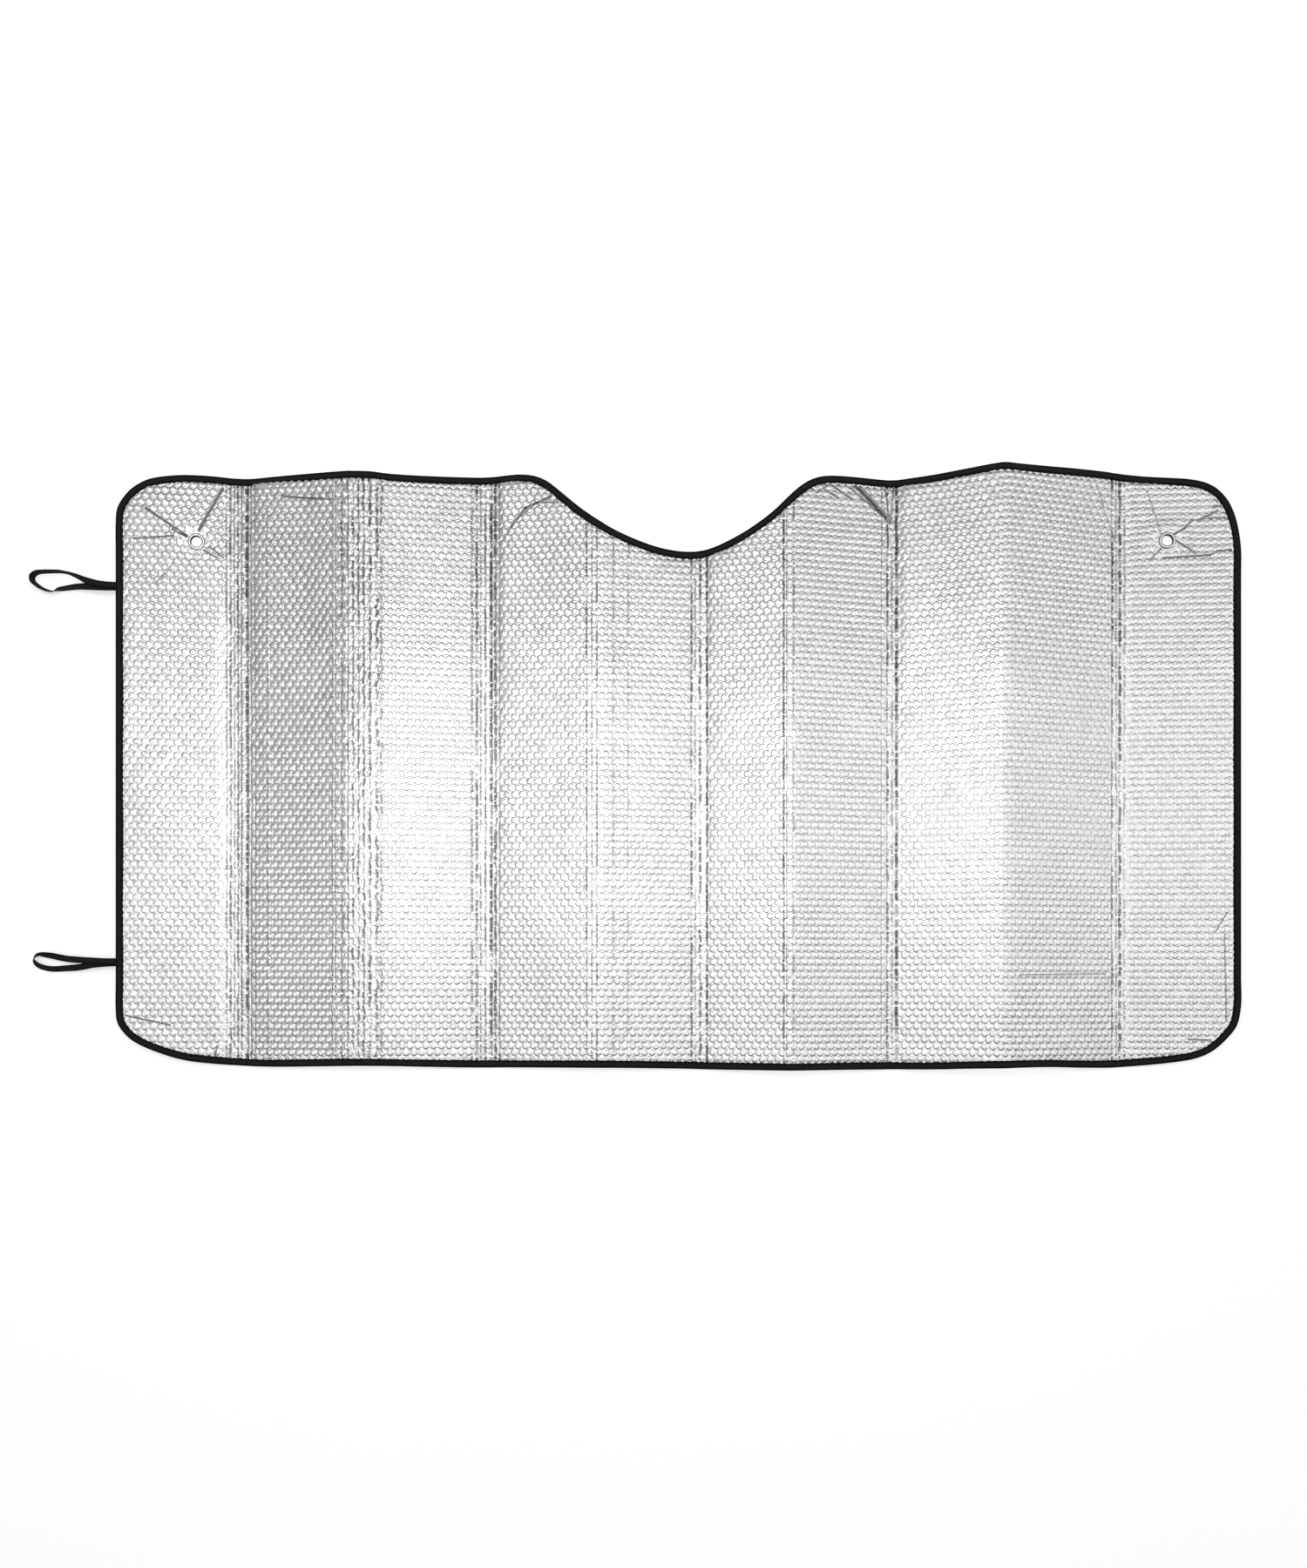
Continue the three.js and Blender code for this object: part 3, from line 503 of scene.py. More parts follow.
# ---------------------------------------------------------------------------
# Elastic loops: a braided band, its ribs and rolled edges modelled
# ---------------------------------------------------------------------------
def catmull_open(pts, qs):
    pts = np.array(pts, float)
    n = len(pts)
    ext = np.vstack([2 * pts[0] - pts[1], pts, 2 * pts[-1] - pts[-2]])
    out = []
    for q in qs:
        f = q * (n - 1)
        i = min(n - 2, int(f))
        t = f - i
        p = ext[i:i + 4]
        d = [max(np.linalg.norm(p[k + 1] - p[k]) ** 0.5, 1e-4) for k in range(3)]
        t1 = ((p[1] - p[0]) / d[0] - (p[2] - p[0]) / (d[0] + d[1]) + (p[2] - p[1]) / d[1]) * d[1]
        t2 = ((p[2] - p[1]) / d[1] - (p[3] - p[1]) / (d[1] + d[2]) + (p[3] - p[2]) / d[2]) * d[1]
        out.append(p[1] + t1 * t + (-3 * p[1] + 3 * p[2] - 2 * t1 - t2) * t * t
                   + (2 * p[1] - 2 * p[2] + t1 + t2) * t ** 3)
    return np.array(out)


def band(name, rows, steps=420):
    rows = np.array(rows, float)
    qs = np.linspace(0, 1, steps + 1)
    c = catmull_open(rows[:, :3], qs)
    run = np.concatenate([[0], np.cumsum(np.linalg.norm(np.diff(c, axis=0), axis=1))])
    lean = np.radians(np.interp(qs * (len(rows) - 1), np.arange(len(rows)), rows[:, 3]))
    lean = np.convolve(np.pad(lean, 6, mode="edge"), np.hanning(13) / np.hanning(13).sum(), mode="valid")
    t = np.gradient(c, axis=0)
    t /= np.linalg.norm(t, axis=1)[:, None]
    out = np.stack([t[:, 1], -t[:, 0], 0 * t[:, 0]], 1)
    out /= np.linalg.norm(out, axis=1)[:, None]
    rise = np.cross(out, t)
    rise *= np.sign(rise[:, 2])[:, None]
    across = out * np.cos(lean)[:, None] + rise * np.sin(lean)[:, None]
    thick = np.cross(t, across)
    # half section: across position, half thickness; seven ribs between rolled edges
    xs = np.linspace(-1, 1, 23)
    ribs = 0.10 * np.abs(np.sin(xs * math.pi * 3.5))
    prof = 0.40 + ribs - 0.30 * np.clip(np.abs(xs) - 0.88, 0, 1) / 0.12
    sec = []
    cross_w = 0.045 * np.sin(run * 2 * math.pi / 1.5)
    for sgn in (1, -1):
        for k, x in enumerate(xs if sgn > 0 else xs[::-1]):
            h = (prof if sgn > 0 else prof[::-1])[k]
            ph = np.where(k % 2 == 0, 1.0, -1.0)
            half = 4.0 + 0.06 * np.sin(run * 2 * math.pi / 1.5 + (0 if x > 0 else 1.6))
            sec.append(c + across * (x * half)[:, None] + thick * (sgn * (h + cross_w * ph))[:, None])
    ob = swept(name, np.stack(sec, 1), False, caps=True)
    w = len(sec)
    xx = np.concatenate([xs, xs[::-1]]) * 4.0
    add_uv(ob.data, "band", np.stack([np.repeat(run, w), np.tile(xx, len(run))], 1) * MM)
    return ob


upper = band("upper_elastic_band", UPPER_LOOP)
lower = band("lower_elastic_band", LOWER_LOOP)


# ---------------------------------------------------------------------------
# Eyelets and washers
# ---------------------------------------------------------------------------
def lathe(name, profile, eye, segs=72):
    prof = np.array(profile, float)
    n = len(prof)
    u, v = eye
    o = surface(np.array([u]), np.array([v]), np.array([0.0]))[0]
    nrm = surface(np.array([u]), np.array([v]), np.array([1.0]))[0] - o
    nrm /= np.linalg.norm(nrm)
    ty = np.array([0.0, 1.0, 0.0])
    tx = np.cross(ty, nrm)
    sec = []
    for k in range(segs):
        g = 2 * math.pi * k / segs
        r = tx * math.cos(g) + ty * math.sin(g)
        sec.append(o + prof[:, :1] * r + prof[:, 1:] * nrm)
    ob = swept(name, np.stack(sec, 0), True)
    add_uv(ob.data, "ring", np.tile(prof, (segs, 1)) * MM)
    return ob


EYELET = [
    (6.50, -1.9), (6.50, -1.0), (6.50, 0.2), (6.52, 1.15), (6.62, 1.42), (6.84, 1.66), (7.14, 1.83), (7.5, 1.93),
    (8.0, 1.97), (8.5, 1.96), (9.0, 1.93), (9.45, 1.86), (9.8, 1.74), (10.05, 1.56), (10.18, 1.36), (10.2, 1.2),
    (10.12, 1.07), (9.9, 1.05), (8.6, 1.05), (7.5, 1.05), (7.34, 0.95), (7.3, 0.8), (7.3, -0.4), (7.3, -1.6),
    (7.42, -1.76), (7.9, -1.78), (8.4, -1.78), (8.62, -1.86), (8.7, -2.0), (8.62, -2.15), (8.4, -2.25), (7.9, -2.3),
    (7.4, -2.27), (7.05, -2.18), (6.82, -2.06)]
WASHER = [(7.6, -1.05), (9.9, -1.05), (10.12, -1.1), (10.2, -1.22), (10.16, -1.36), (10.0, -1.45), (9.2, -1.5), (8.2, -1.48), (7.6, -1.45)]
metal_parts = []
for side_name, eye in zip(("left", "right"), EYES):
    e = lathe(side_name + "_eyelet_ring", EYELET, eye)
    w = lathe(side_name + "_eyelet_washer_ring", WASHER, eye)
    metal_parts.append((e, side_name + "_eyelet"))
    metal_parts.append((w, side_name + "_eyelet_washer"))


# ---------------------------------------------------------------------------
# Node helpers
# ---------------------------------------------------------------------------
class Net:
    """A small helper round one material's node tree."""

    def __init__(self, name):
        self.mat = bpy.data.materials.new(name)
        self.mat.use_nodes = True
        self.t = self.mat.node_tree
        self.bsdf = self.t.nodes["Principled BSDF"]

    def put(self, socket, value):
        if isinstance(value, bpy.types.NodeSocket):
            self.t.links.new(value, socket)
        else:
            socket.default_value = value

    def math(self, op, a, b=None, c=None, clamp=False):
        n = self.t.nodes.new("ShaderNodeMath")
        n.operation = op
        n.use_clamp = clamp
        for k, x in enumerate((a, b, c)):
            if x is not None:
                self.put(n.inputs[k], x)
        return n.outputs[0]

    def vec(self, op, a, b=None, c=None, scale=None, value=False):
        n = self.t.nodes.new("ShaderNodeVectorMath")
        n.operation = op
        for k, x in enumerate((a, b, c)):
            if x is not None:
                self.put(n.inputs[k], x)
        if scale is not None:
            self.put(n.inputs["Scale"], scale)
        return n.outputs["Value"] if value else n.outputs["Vector"]

    def ramp(self, x, a, b, lo=0.0, hi=1.0, kind="SMOOTHSTEP"):
        n = self.t.nodes.new("ShaderNodeMapRange")
        n.interpolation_type = kind
        n.clamp = kind == "LINEAR"                  # a smooth step stays in range by itself
        for k, val in zip(("Value", "From Min", "From Max", "To Min", "To Max"), (x, a, b, lo, hi)):
            self.put(n.inputs[k], val)
        return n.outputs["Result"]

    def noise(self, vector, scale, detail=2.0, rough=0.5, dims="3D", lac=2.0):
        n = self.t.nodes.new("ShaderNodeTexNoise")
        n.noise_dimensions = dims
        self.put(n.inputs["Vector"], vector)
        n.inputs["Scale"].default_value = scale
        n.inputs["Detail"].default_value = detail
        n.inputs["Roughness"].default_value = rough
        n.inputs["Lacunarity"].default_value = lac
        return n.outputs["Fac"]

    def noise1(self, w, detail):
        n = self.t.nodes.new("ShaderNodeTexNoise")
        n.noise_dimensions = "1D"
        self.put(n.inputs["W"], w)
        n.inputs["Scale"].default_value = 1.0
        n.inputs["Detail"].default_value = detail
        n.inputs["Roughness"].default_value = 0.6
        return n.outputs["Fac"]

    def white(self, vector):
        n = self.t.nodes.new("ShaderNodeTexWhiteNoise")
        n.noise_dimensions = "3D"
        self.put(n.inputs["Vector"], vector)
        return n.outputs["Value"], n.outputs["Color"]

    def uv(self, name):
        n = self.t.nodes.new("ShaderNodeUVMap")
        n.uv_map = name
        return n.outputs["UV"]

    def attr(self, name):
        n = self.t.nodes.new("ShaderNodeAttribute")
        n.attribute_name = name
        return n.outputs["Fac"]

    def mix(self, f, a, b):
        n = self.t.nodes.new("ShaderNodeMix")
        n.data_type = "RGBA"
        self.put(n.inputs["Factor"], f)
        self.put(n.inputs["A"], a)
        self.put(n.inputs["B"], b)
        return n.outputs["Result"]

    def mixv(self, f, a, b):
        n = self.t.nodes.new("ShaderNodeMix")
        n.data_type = "VECTOR"
        self.put(n.inputs["Factor"], f)
        self.put(n.inputs[4], a)
        self.put(n.inputs[5], b)
        return n.outputs[1]

    def bump(self, height, distance, strength=1.0):
        n = self.t.nodes.new("ShaderNodeBump")
        n.inputs["Strength"].default_value = strength
        n.inputs["Distance"].default_value = distance
        self.put(n.inputs["Height"], height)
        self.put(self.bsdf.inputs["Normal"], n.outputs["Normal"])

    def object_coords(self):
        return self.t.nodes.new("ShaderNodeTexCoord").outputs["Object"]


class Total:
    """A running sum, so that few values are held at once."""

    def __init__(self, net):
        self.net, self.value = net, None

    def append(self, x):
        self.value = x if self.value is None else self.net.math("ADD", self.value, x)


# ---------------------------------------------------------------------------
# Metallised film
# ---------------------------------------------------------------------------
def foil_material(name, lines, wrinkles):
    """The film's finish. lines are its pressed fold lines and wrinkles its single
    creases; a zone of the film is given only those that cross it."""
    m = Net(name)
    b = m.bsdf
    p = m.vec("SCALE", m.uv("flat"), scale=1000.0)           # flat film, mm
    q = m.vec("SCALE", m.uv("cells"), scale=1000.0)          # undisturbed pitch, mm
    fullness = m.attr("fullness")

    # the height is summed up part by part
    parts = Total(m)
    for (ax, ay), (bx, by), width, depth in wrinkles:
        dx, dy = bx - ax, by - ay
        ll = dx * dx + dy * dy
        pa = m.vec("SUBTRACT", p, (ax, ay, 0.0))
        h = m.vec("DOT_PRODUCT", pa, (dx / ll, dy / ll, 0.0), value=True)
        h = m.math("MINIMUM", m.math("MAXIMUM", h, 0.0), 1.0)
        x = m.vec("DISTANCE", pa, m.vec("SCALE", (dx, dy, 0.0), scale=h), value=True)
        parts.append(m.ramp(x, 0.0, width * 0.75, -depth * 2.2, 0.0))

    pressed_in = Total(m)
    if lines:
        sx = m.t.nodes.new("ShaderNodeSeparateXYZ")
        m.put(sx.inputs[0], p)
        u_, v_ = sx.outputs[0], sx.outputs[1]
    for where, width, depth, sway in lines:
        wob = m.noise1(m.math("MULTIPLY_ADD", v_, 0.045, where * 0.71), 2.0)
        x = m.math("ABSOLUTE", m.math("MULTIPLY_ADD", m.math("SUBTRACT", wob, 0.5), 2.0 * sway,
                                      m.math("SUBTRACT", u_, where)))
        strong = m.ramp(m.noise1(m.math("MULTIPLY_ADD", v_, 0.017, where * 1.37), 1.0), 0.36, 0.58, 0.35, 1.0)
        # crossing the bubbles breaks each line up into dashes
        dash = m.ramp(m.noise1(m.math("MULTIPLY_ADD", v_, 0.15, where * 2.93), 1.0), 0.40, 0.56, 0.35, 1.25)
        strong = m.math("MULTIPLY", strong, dash)
        pressed_in.append(m.math("MULTIPLY", m.ramp(x, 0.0, width, -depth, 0.0), strong))
    if lines:
        parts.append(m.math("MULTIPLY", pressed_in.value, m.ramp(v_, 20.0, 300.0, 1.1, 1.9)))
    # painted shade: down in a crease the film sees little but itself, so the base colour is darkened there
    crease_painted_shade = m.ramp(parts.value, -2.4, -0.25, 0.30, 1.0, "LINEAR") if parts.value else None

    # nearest bubble centre of the staggered pitch
    off = []
    for ox, oy in ((U0, V0), (U0 + PITCH_U / 2, V0 + PITCH_V)):
        rel = m.vec("SUBTRACT", q, (ox, oy, 0.0))
        off.append(m.vec("WRAP", rel, (PITCH_U / 2, PITCH_V, 1.0), (-PITCH_U / 2, -PITCH_V, -1.0)))
    d0 = m.vec("LENGTH", off[0], value=True)
    d1 = m.vec("LENGTH", off[1], value=True)
    second = m.math("LESS_THAN", d1, d0)
    near = m.mixv(second, off[0], off[1])
    r = m.math("MINIMUM", d0, d1)
    steps = m.vec("DIVIDE", m.vec("SUBTRACT", m.vec("SUBTRACT", q, (U0, V0, 0.0)), near), (PITCH_U / 2, PITCH_V, 1.0))
    which = m.vec("FLOOR", m.vec("ADD", steps, (0.5, 0.5, 0.5)))
    rnd, rcol = m.white(which)
    tilt = m.vec("DOT_PRODUCT", near, m.vec("SUBTRACT", rcol, (0.5, 0.5, 0.5)), value=True)

    # flat-topped dome with a steep rim
    dome = m.ramp(r, DOME_IN, DOME_OUT, 1.0, 0.0)
    amp = m.math("MULTIPLY_ADD", rnd, DOME_H * 0.4, DOME_H * 0.8)
    parts.append(m.math("MULTIPLY", m.math("MULTIPLY", dome, amp), fullness))
    parts.append(m.math("MULTIPLY", m.math("MULTIPLY", tilt, dome), 0.06))

    # crumple: fine everywhere, stronger where the bubbles are pressed
    fine = m.noise(p, 0.40, 1.0, 0.5, "2D")
    pressed = m.math("SUBTRACT", 1.0, fullness)
    parts.append(m.math("MULTIPLY", fine, m.math("MULTIPLY_ADD", pressed, 0.55, 0.10)))

    m.bump(parts.value, 0.001)
    b.inputs["Metallic"].default_value = 1.0
    # the base colour carries the painted crease shade
    if crease_painted_shade:
        m.put(b.inputs["Base Color"], m.vec("SCALE", (0.93, 0.933, 0.94), scale=crease_painted_shade))
    else:
        b.inputs["Base Color"].default_value = (0.93, 0.933, 0.94, 1.0)
    rough = m.noise(p, 0.02, 1.0, 0.5, "2D")
    m.put(b.inputs["Roughness"], m.ramp(rough, 0.3, 0.7, FILM_ROUGH - 0.03, FILM_ROUGH + 0.04, "LINEAR"))
    return m.mat


DOME_IN, DOME_OUT, DOME_H = 2.7, 4.3, 0.6
FILM_ROUGH = 0.30

# pressed lines along the folds: where along the film, width, depth, sway
FOLD_LINES = [
    (130.5, 1.8, 0.7, 0.8), (135.4, 2.0, 1.0, 1.2), (140.0, 1.6, 0.6, 1.5), (144.5, 2.0, 1.1, 1.4),
    (150.6, 2.2, -1.2, 0.4), (156.2, 3.0, 1.8, 0.4), (161.5, 1.6, 0.9, 1.2), (167.0, 1.5, 0.7, 0.8),
    (267.5, 1.9, -0.9, 0.5), (272.0, 1.6, -0.8, 0.8), (278.7, 2.2, 1.0, 2.2), (286.0, 1.8, 0.8, 1.6),
    (292.5, 2.0, 1.0, 2.5), (299.0, 1.8, 0.9, 2.2), (305.5, 2.0, 1.0, 2.8), (313.1, 2.2, 1.1, 2.5),
    (321.5, 2.2, 1.0, 4.5), (327.0, 1.6, 0.7, 2.0),
    (436.5, 1.7, 0.8, 1.0), (442.5, 2.0, 1.1, 1.4), (447.5, 1.7, -0.9, 1.0), (453.0, 1.7, 1.0, 1.2),
    (460.2, 2.4, 1.6, 0.8), (465.2, 2.2, 1.3, 1.0), (470.5, 1.6, 0.8, 1.0),
    (580.0, 1.5, 0.8, 0.5), (586.5, 1.5, 0.6, 0.8), (592.8, 1.5, 0.8, 0.6),
    (709.9, 1.8, 1.3, 0.6), (714.5, 1.6, -0.7, 0.6), (720.7, 2.0, 1.2, 1.8), (729.4, 2.0, 1.8, 0.5),
    (824.3, 1.8, 1.4, 0.4), (828.5, 1.6, -0.6, 0.4), (836.4, 1.6, 0.7, 0.8),
    (950.0, 1.6, 0.6, 1.0), (957.5, 2.2, 1.4, 1.3), (963.2, 2.2, -1.0, 0.8), (968.9, 2.4, 1.8, 1.3),
    (1244.6, 2.1, 1.4, 0.6), (1249.4, 1.8, -1.1, 0.6), (1254.6, 2.4, 1.5, 1.6), (1260.5, 1.7, 0.7, 1.0),
    (185.4, 1.8, -0.9, 0.4), (613.1, 1.5, 0.5, 0.8), (631.4, 1.5, 0.5, 0.8)]

WRINKLES = [
    ((126.1, 348.2), (98.1, 296.3), 3.0, 1.0),
    ((35.5, 320.0), (83.7, 288.1), 2.2, 0.8),
    ((67.2, 295.9), (82.7, 288.0), 2.4, 0.7),
    ((21.2, 282.0), (67.2, 287.3), 1.8, 0.6),
    ((103.3, 271.8), (118.8, 262.8), 1.6, 0.5),
    ((110.5, 276.4), (127.1, 263.2), 1.6, 0.5),
    ((67.2, 254.1), (47.7, 228.7), 2.0, 0.4),
    ((1287.7, 343.6), (1303.4, 293.7), 2.4, -0.7),
    ((1320.1, 291.0), (1332.6, 298.2), 2.0, 0.7),
    ((1332.6, 298.2), (1342.0, 308.1), 2.0, 0.7),
    ((1348.2, 307.0), (1372.1, 318.5), 2.0, 0.6),
    ((1361.7, 310.2), (1381.4, 309.6), 1.8, 0.5),
    ((1364.8, 323.0), (1376.2, 324.8), 1.8, 0.5),
    ((1322.7, 283.4), (1345.1, 267.8), 2.0, 0.6),
    ((1306.5, 262.4), (1363.3, 264.1), 1.8, 0.55),
    ((1363.3, 264.1), (1372.1, 269.2), 1.8, 0.5),
    ((1372.1, 269.2), (1388.7, 270.3), 1.8, 0.5),
    ((1304.5, 274.3), (1291.9, 260.7), 1.8, 0.5),
    ((536.5, 336.1), (503.6, 323.0), 2.2, 0.8),
    ((503.6, 323.0), (486.0, 300.3), 2.2, 0.8),
    ((486.0, 300.3), (475.5, 283.6), 2.0, 0.6),
    ((545.3, 327.6), (517.9, 329.1), 1.8, 0.5),
    ((517.9, 329.1), (497.0, 313.1), 1.8, 0.5),
    ((915.9, 348.2), (954.7, 311.8), 3.2, 1.5), ((922.0, 347.5), (957.5, 314.0), 2.6, -1.2), ((908.0, 346.0), (946.0, 318.0), 1.8, 0.7),
    ((876.0, 340.0), (892.0, 333.0), 1.8, 0.7), ((886.0, 346.0), (912.0, 331.0), 1.8, 0.8), ((866.0, 336.0), (880.0, 347.0), 1.8, 0.6),
    ((954.7, 349.5), (960.3, 306.8), 1.8, 0.7),
    ((965.7, 349.9), (960.3, 306.8), 1.8, 0.7),
    ((1221.8, 354.7), (1247.6, 286.3), 1.8, 0.6),
    ((202.4, 336.4), (265.3, 330.1), 2.0, 0.8),
    ((1116.1, -253.5), (1235.3, -251.3), 1.8, 0.2),
    ((11.5, -302.7), (63.6, -314.6), 1.8, 0.5),
    ((119.9, -340.6), (116.2, -354.6), 1.8, 0.5),
    ((1380.4, -203.3), (1382.5, -309.3), 1.8, 0.5),
    ((1370.0, -200.0), (1383.5, -176.5), 1.8, 0.4),
    ((1336.8, -331.9), (1363.8, -333.4), 1.8, 0.4)]


# ---------------------------------------------------------------------------
# Woven and braided blacks
# ---------------------------------------------------------------------------
def tape_material():
    m = Net("woven_binding")
    p = m.vec("SCALE", m.uv("tape"), scale=1000.0)
    s = m.t.nodes.new("ShaderNodeSeparateXYZ")
    m.put(s.inputs[0], p)
    a = m.math("SINE", m.math("MULTIPLY", m.math("ADD", s.outputs[0], s.outputs[1]), 2 * math.pi / 0.9))
    c = m.math("SINE", m.math("MULTIPLY", m.math("SUBTRACT", s.outputs[0], s.outputs[1]), 2 * math.pi / 0.9))
    weave = m.math("MULTIPLY", a, c)
    fuzz = m.noise(p, 0.9, 3.0, 0.6)
    height = m.math("MULTIPLY_ADD", weave, 0.06, m.math("MULTIPLY", fuzz, 0.35))
    m.bump(height, 0.001)
    shade = m.ramp(m.noise(p, 0.25, 3.0, 0.6), 0.3, 0.7, 0.0, 1.0, "LINEAR")
    # painted sheen: lighter along the middle of the face, where the rounded tape catches light, blackest at both its
    # edges
    painted_sheen = m.ramp(m.math("ABSOLUTE", m.math("SUBTRACT", s.outputs[1], 4.3)), 0.8, 3.0, 1.0, 0.0)
    col = m.mix(shade, (0.0025, 0.0025, 0.003, 1), (0.006, 0.006, 0.007, 1))
    col = m.mix(m.math("MULTIPLY", painted_sheen, m.math("MULTIPLY_ADD", shade, 0.5, 0.4)), col, (0.030, 0.030, 0.032, 1))
    m.put(m.bsdf.inputs["Base Color"], col)
    m.bsdf.inputs["Roughness"].default_value = 0.85
    m.bsdf.inputs["Specular IOR Level"].default_value = 0.14
    m.bsdf.inputs["Sheen Weight"].default_value = 0.03
    m.bsdf.inputs["Sheen Roughness"].default_value = 0.5
    return m.mat


def thread_material():
    m = Net("sewing_thread")
    p = m.vec("SCALE", m.object_coords(), scale=1000.0)
    twist = m.noise(p, 1.3, 2.0, 0.6)
    m.bump(m.math("MULTIPLY", twist, 0.25), 0.001)
    col = m.mix(m.ramp(twist, 0.3, 0.7, 0.0, 1.0, "LINEAR"), (0.006, 0.006, 0.007, 1), (0.016, 0.016, 0.018, 1))
    m.put(m.bsdf.inputs["Base Color"], col)
    m.bsdf.inputs["Roughness"].default_value = 0.6
    m.bsdf.inputs["Specular IOR Level"].default_value = 0.25
    return m.mat


def elastic_material():
    m = Net("braided_elastic")
    p = m.vec("SCALE", m.uv("band"), scale=1000.0)
    s = m.t.nodes.new("ShaderNodeSeparateXYZ")
    m.put(s.inputs[0], p)
    across = m.math("ABSOLUTE", s.outputs[1])
    a = m.math("SINE", m.math("MULTIPLY", m.math("ADD", s.outputs[0], across), 2 * math.pi / 1.1))
    h = m.math("MULTIPLY_ADD", a, 0.05, m.math("MULTIPLY", m.noise(p, 1.4, 2.0, 0.6), 0.18))
    m.bump(h, 0.001)
    fleck = m.ramp(m.noise(m.vec("MULTIPLY", p, (1.0, 2.2, 0.0)), 0.9, 3.0, 0.7), 0.35, 0.7, 0.0, 1.0, "LINEAR")
    # the flecks are the braid's own tone; painted light: the middle is painted lighter as a sheen and the rolled edges
    # black as shade
    inner_c = m.mix(fleck, (0.007, 0.007, 0.008, 1), (0.030, 0.030, 0.032, 1))
    edge = m.ramp(across, 2.0, 3.0, 0.0, 1.0)
    m.put(m.bsdf.inputs["Base Color"], m.mix(edge, inner_c, (0.002, 0.002, 0.0025, 1)))
    m.bsdf.inputs["Roughness"].default_value = 0.8
    m.bsdf.inputs["Specular IOR Level"].default_value = 0.12
    m.bsdf.inputs["Sheen Weight"].default_value = 0.04
    return m.mat


def metal_material():
    m = Net("plated_eyelet")
    p = m.vec("SCALE", m.object_coords(), scale=1000.0)
    scuff = m.noise(p, 0.8, 3.0, 0.6)
    m.bump(m.math("MULTIPLY", scuff, 0.05), 0.001)
    col = m.mix(m.ramp(scuff, 0.3, 0.7, 0.0, 1.0, "LINEAR"), (0.78, 0.77, 0.77, 1), (0.88, 0.87, 0.87, 1))
    s = m.t.nodes.new("ShaderNodeSeparateXYZ")
    m.put(s.inputs[0], m.vec("SCALE", m.uv("ring"), scale=1000.0))
    # painted shade: the base colour is darkened inside the barrel, where its wall lies in shadow, and along the outer
    # rim as a dark outline
    col = m.mix(m.ramp(s.outputs[0], 7.0, 7.9, 1.0, 0.0), col, (0.03, 0.028, 0.028, 1))
    col = m.mix(m.ramp(s.outputs[0], 9.0, 9.8, 0.0, 1.0), col, (0.17, 0.16, 0.16, 1))
    m.put(m.bsdf.inputs["Base Color"], col)
    m.bsdf.inputs["Metallic"].default_value = 1.0
    m.put(m.bsdf.inputs["Roughness"], m.ramp(scuff, 0.3, 0.7, 0.22, 0.34, "LINEAR"))
    return m.mat


def dress(ob, mat):
    ob.data.materials.clear()
    ob.data.materials.append(mat)


# the film's zones: each has only the lines and wrinkles that cross it
ZONE_U = [-20, 20, 70, 128, 174, 262, 332, 430, 476, 530, 576, 600, 638, 703, 738, 818, 845, 912, 945, 978, 1090,
          1110, 1205, 1238, 1268, 1300, 1345, 1420]
ZONE_V = [-400, -240, -170, 215, 400]
me = foil.data
tri = np.zeros(len(me.polygons) * 3, np.int32)
me.polygons.foreach_get("vertices", tri)
mid_uv = np.concatenate([P, P])[tri.reshape(-1, 3)].mean(1)
zu = np.clip(np.searchsorted(ZONE_U, mid_uv[:, 0]) - 1, 0, len(ZONE_U) - 2)
zv = np.clip(np.searchsorted(ZONE_V, mid_uv[:, 1]) - 1, 0, len(ZONE_V) - 2)
mat_of, index = {}, np.zeros(len(me.polygons), np.int32)
for a in range(len(ZONE_U) - 1):
    for b in range(len(ZONE_V) - 1):
        u_lo, u_hi, v_lo, v_hi = ZONE_U[a] - 6, ZONE_U[a + 1] + 6, ZONE_V[b] - 6, ZONE_V[b + 1] + 6
        lines = tuple(x for x in FOLD_LINES if u_lo < x[0] + x[1] + x[3] and x[0] - x[1] - x[3] < u_hi)
        wrinkles = tuple(w for w in WRINKLES
                         if u_lo < max(w[0][0], w[1][0]) + w[2] and min(w[0][0], w[1][0]) - w[2] < u_hi
                         and v_lo < max(w[0][1], w[1][1]) + w[2] and min(w[0][1], w[1][1]) - w[2] < v_hi)
        key = (lines, wrinkles)
        if key not in mat_of:
            mat_of[key] = len(mat_of)
            me.materials.append(foil_material("metallised_film_%02d" % len(mat_of), lines, wrinkles))
        index[(zu == a) & (zv == b)] = mat_of[key]
me.polygons.foreach_set("material_index", index)
tape_mat, thread_mat, elastic_mat, metal_mat = (
    tape_material(), thread_material(), elastic_material(), metal_material())
dress(binding, tape_mat)
for ob in (front_stitch, back_stitch):
    dress(ob, thread_mat)
for ob in (upper, lower):
    dress(ob, elastic_mat)
for ob, _ in metal_parts:
    dress(ob, metal_mat)

# ---------------------------------------------------------------------------
# What rides, and what stands for what
# ---------------------------------------------------------------------------
for ob, node, slot_name in (
        (foil, "foil_sheet", "metallised_film"), (binding, "edge_binding", "binding_tape"),
        (front_stitch, "front_seam_thread", "sewing_thread"), (back_stitch, "back_seam_thread", "sewing_thread"),
        (upper, "upper_elastic_loop", "elastic_band"), (lower, "lower_elastic_loop", "elastic_band"),
        *((ob, node, "eyelet_metal") for ob, node in metal_parts)):
    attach(ob, "root")
    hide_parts(node)

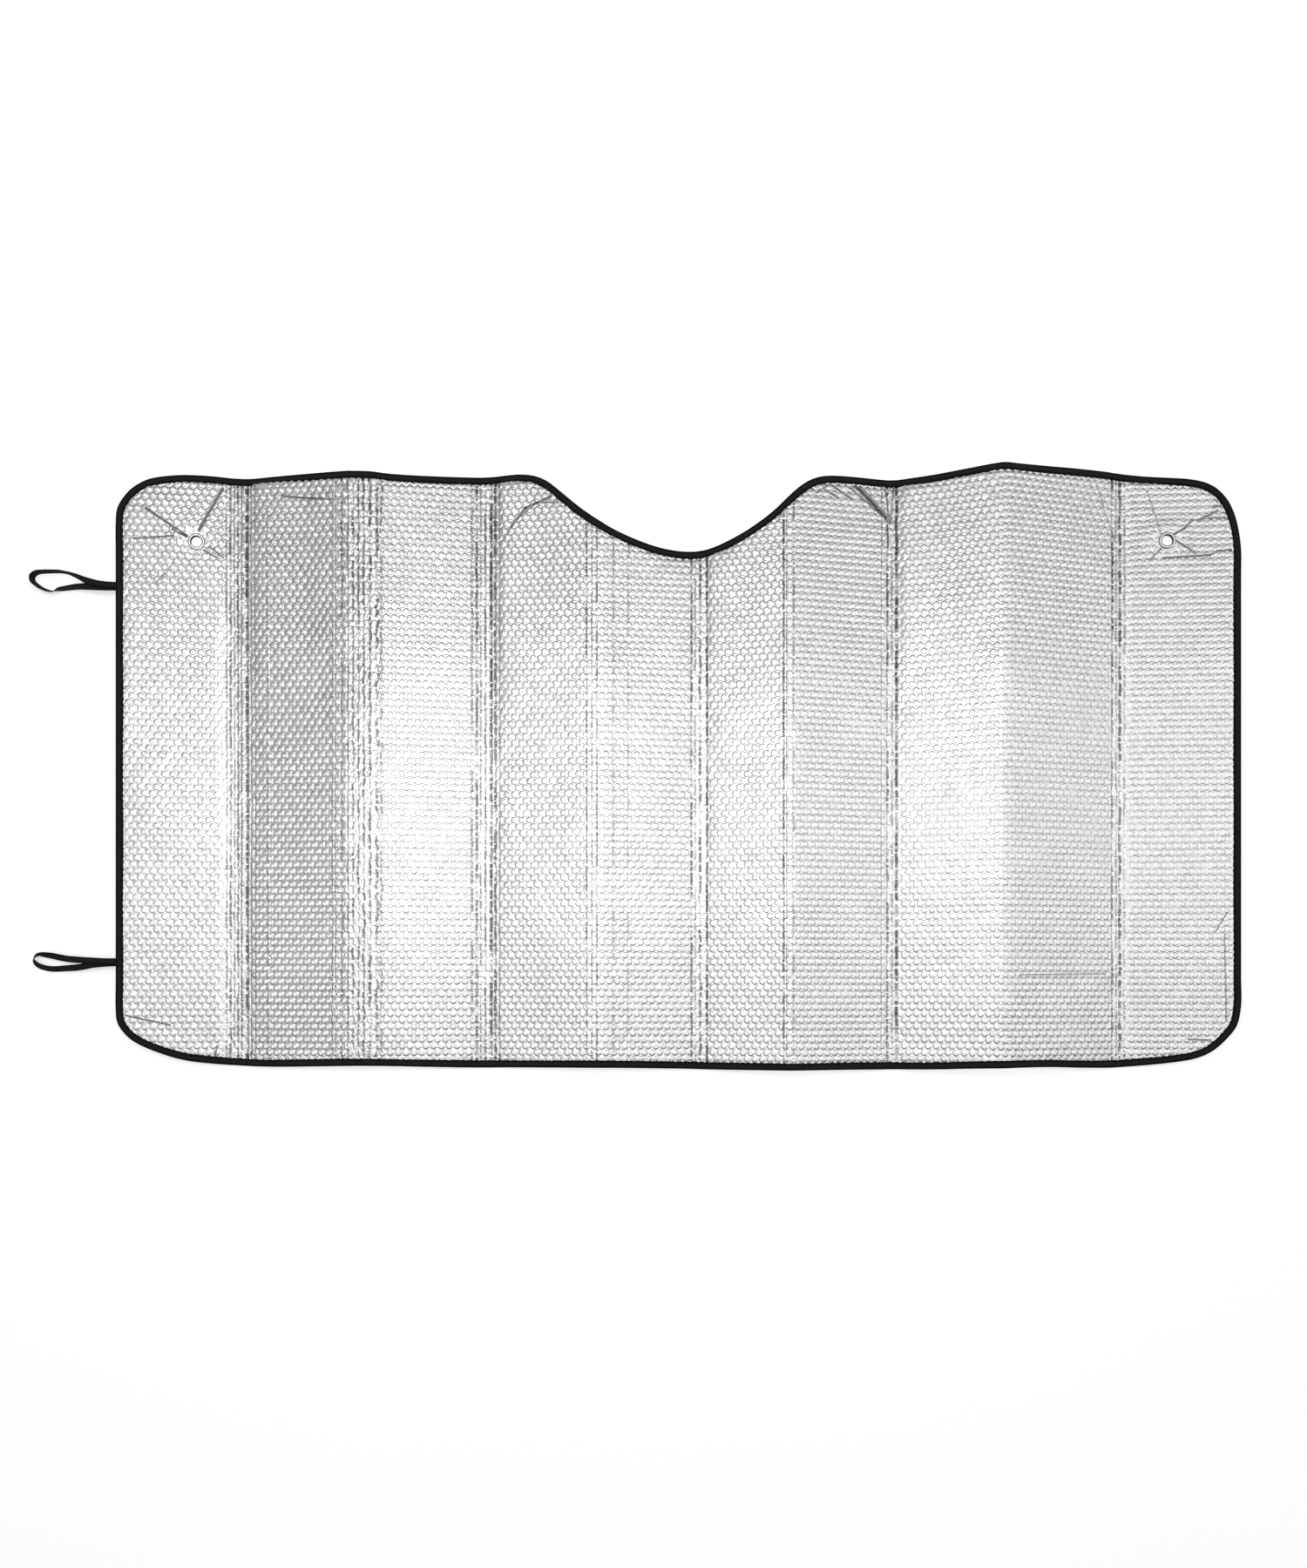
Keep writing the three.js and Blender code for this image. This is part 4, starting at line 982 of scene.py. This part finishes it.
# ---------------------------------------------------------------------------
# Floor, light, camera
# ---------------------------------------------------------------------------
bpy.ops.mesh.primitive_plane_add(size=12, location=(0, 0, 0))
floor = bpy.context.object
floor.name = "floor"
fl = Net("pale_floor")
fl_n = fl.noise(fl.object_coords(), 1.5, 2.0, 0.5)
fl.put(fl.bsdf.inputs["Base Color"], fl.mix(fl_n, (0.93, 0.93, 0.93, 1), (0.95, 0.95, 0.95, 1)))
fl.bsdf.inputs["Roughness"].default_value = 0.9
fl.bsdf.inputs["Emission Color"].default_value = (1, 1, 1, 1)
fl.bsdf.inputs["Emission Strength"].default_value = 0.47
dress(floor, fl.mat)


def softbox(name, location, size, power, target=(0, 0, 0)):
    data = bpy.data.lights.new(name, "AREA")
    data.shape = "RECTANGLE"
    data.size, data.size_y = size
    data.energy = power
    ob = bpy.data.objects.new(name, data)
    bpy.context.scene.collection.objects.link(ob)
    ob.location = location
    ob.rotation_euler = (Vector(target) - Vector(location)).to_track_quat("-Z", "Y").to_euler()
    return ob


def panel(name, ax, ay, bx, by, radiance, height=6.0):
    """A rectangle parallel to the floor, seen from the shade between these angles in
    degrees from straight up; radiance L over area A is L * A * pi watts."""
    x0, x1 = (math.tan(math.radians(k)) * height for k in (ax, bx))
    y0, y1 = (math.tan(math.radians(k)) * height for k in (ay, by))
    size = (x1 - x0, y1 - y0)
    at = ((x0 + x1) / 2 - 0.05, (y0 + y1) / 2, height)
    return softbox(name, at, size, radiance * size[0] * size[1] * math.pi, (at[0], at[1], 0))


ceiling = panel("ceiling_panel", -24, -22, 57, 37, 0.66)
ceiling.rotation_euler.z = math.radians(9)
panel("strip_panel", -24, 0, 58, 27, 0.11, 5.9)
panel("side_panel", 28, -26, 63, 24, 0.22, 5.8)
panel("left_ceiling_panel", -50, -25, -24, 9, 1.0)
softbox("right_panel", (10.0, 3.6, 3.2), (10.0, 5.6), 0.5 * 56 * math.pi, (0, 3.6, 3.2))
softbox("left_panel", (-7.2, 2.6, 2.6), (3.2, 2.2), 0.9 * 7.0 * math.pi)
softbox("far_panel", (-3.0, 8.5, 4.0), (10.0, 4.4), 0.32 * 44 * math.pi, (-0.3, 0, 0))
corner_box = softbox("corner_softbox", (-0.80, 1.02, 1.55), (0.36, 0.50), 1.3 * 0.36 * 0.50 * math.pi, (-0.80, 1.02, 0))
corner_box.visible_camera = False
near_box = softbox("softbox", (-0.26, 0.20, 1.55), (1.05, 0.46), 2.4 * 1.05 * 0.46 * math.pi, (-0.26, 0.20, 0))
near_box.visible_camera = False

world = bpy.data.worlds.new("studio")
bpy.context.scene.world = world
world.use_nodes = True
world.node_tree.nodes["Background"].inputs["Color"].default_value = (0.15, 0.151, 0.154, 1)
world.node_tree.nodes["Background"].inputs["Strength"].default_value = 1.0

cam = bpy.data.cameras.new("camera")
cam.sensor_width = 36.0
cam.lens = 26.0
cam.shift_y = 240.0 / 1800.0
cam_ob = bpy.data.objects.new("camera", cam)
bpy.context.scene.collection.objects.link(cam_ob)
cam_ob.location = (-0.05725, -0.275, 1.4046)
cam_ob.rotation_euler = (0, 0, 0)
bpy.context.scene.camera = cam_ob
bpy.context.scene.view_settings.view_transform = "Standard"
bpy.context.scene.view_settings.look = "None"
bpy.context.scene.view_settings.exposure = 0.0
bpy.context.scene.view_settings.gamma = 1.0
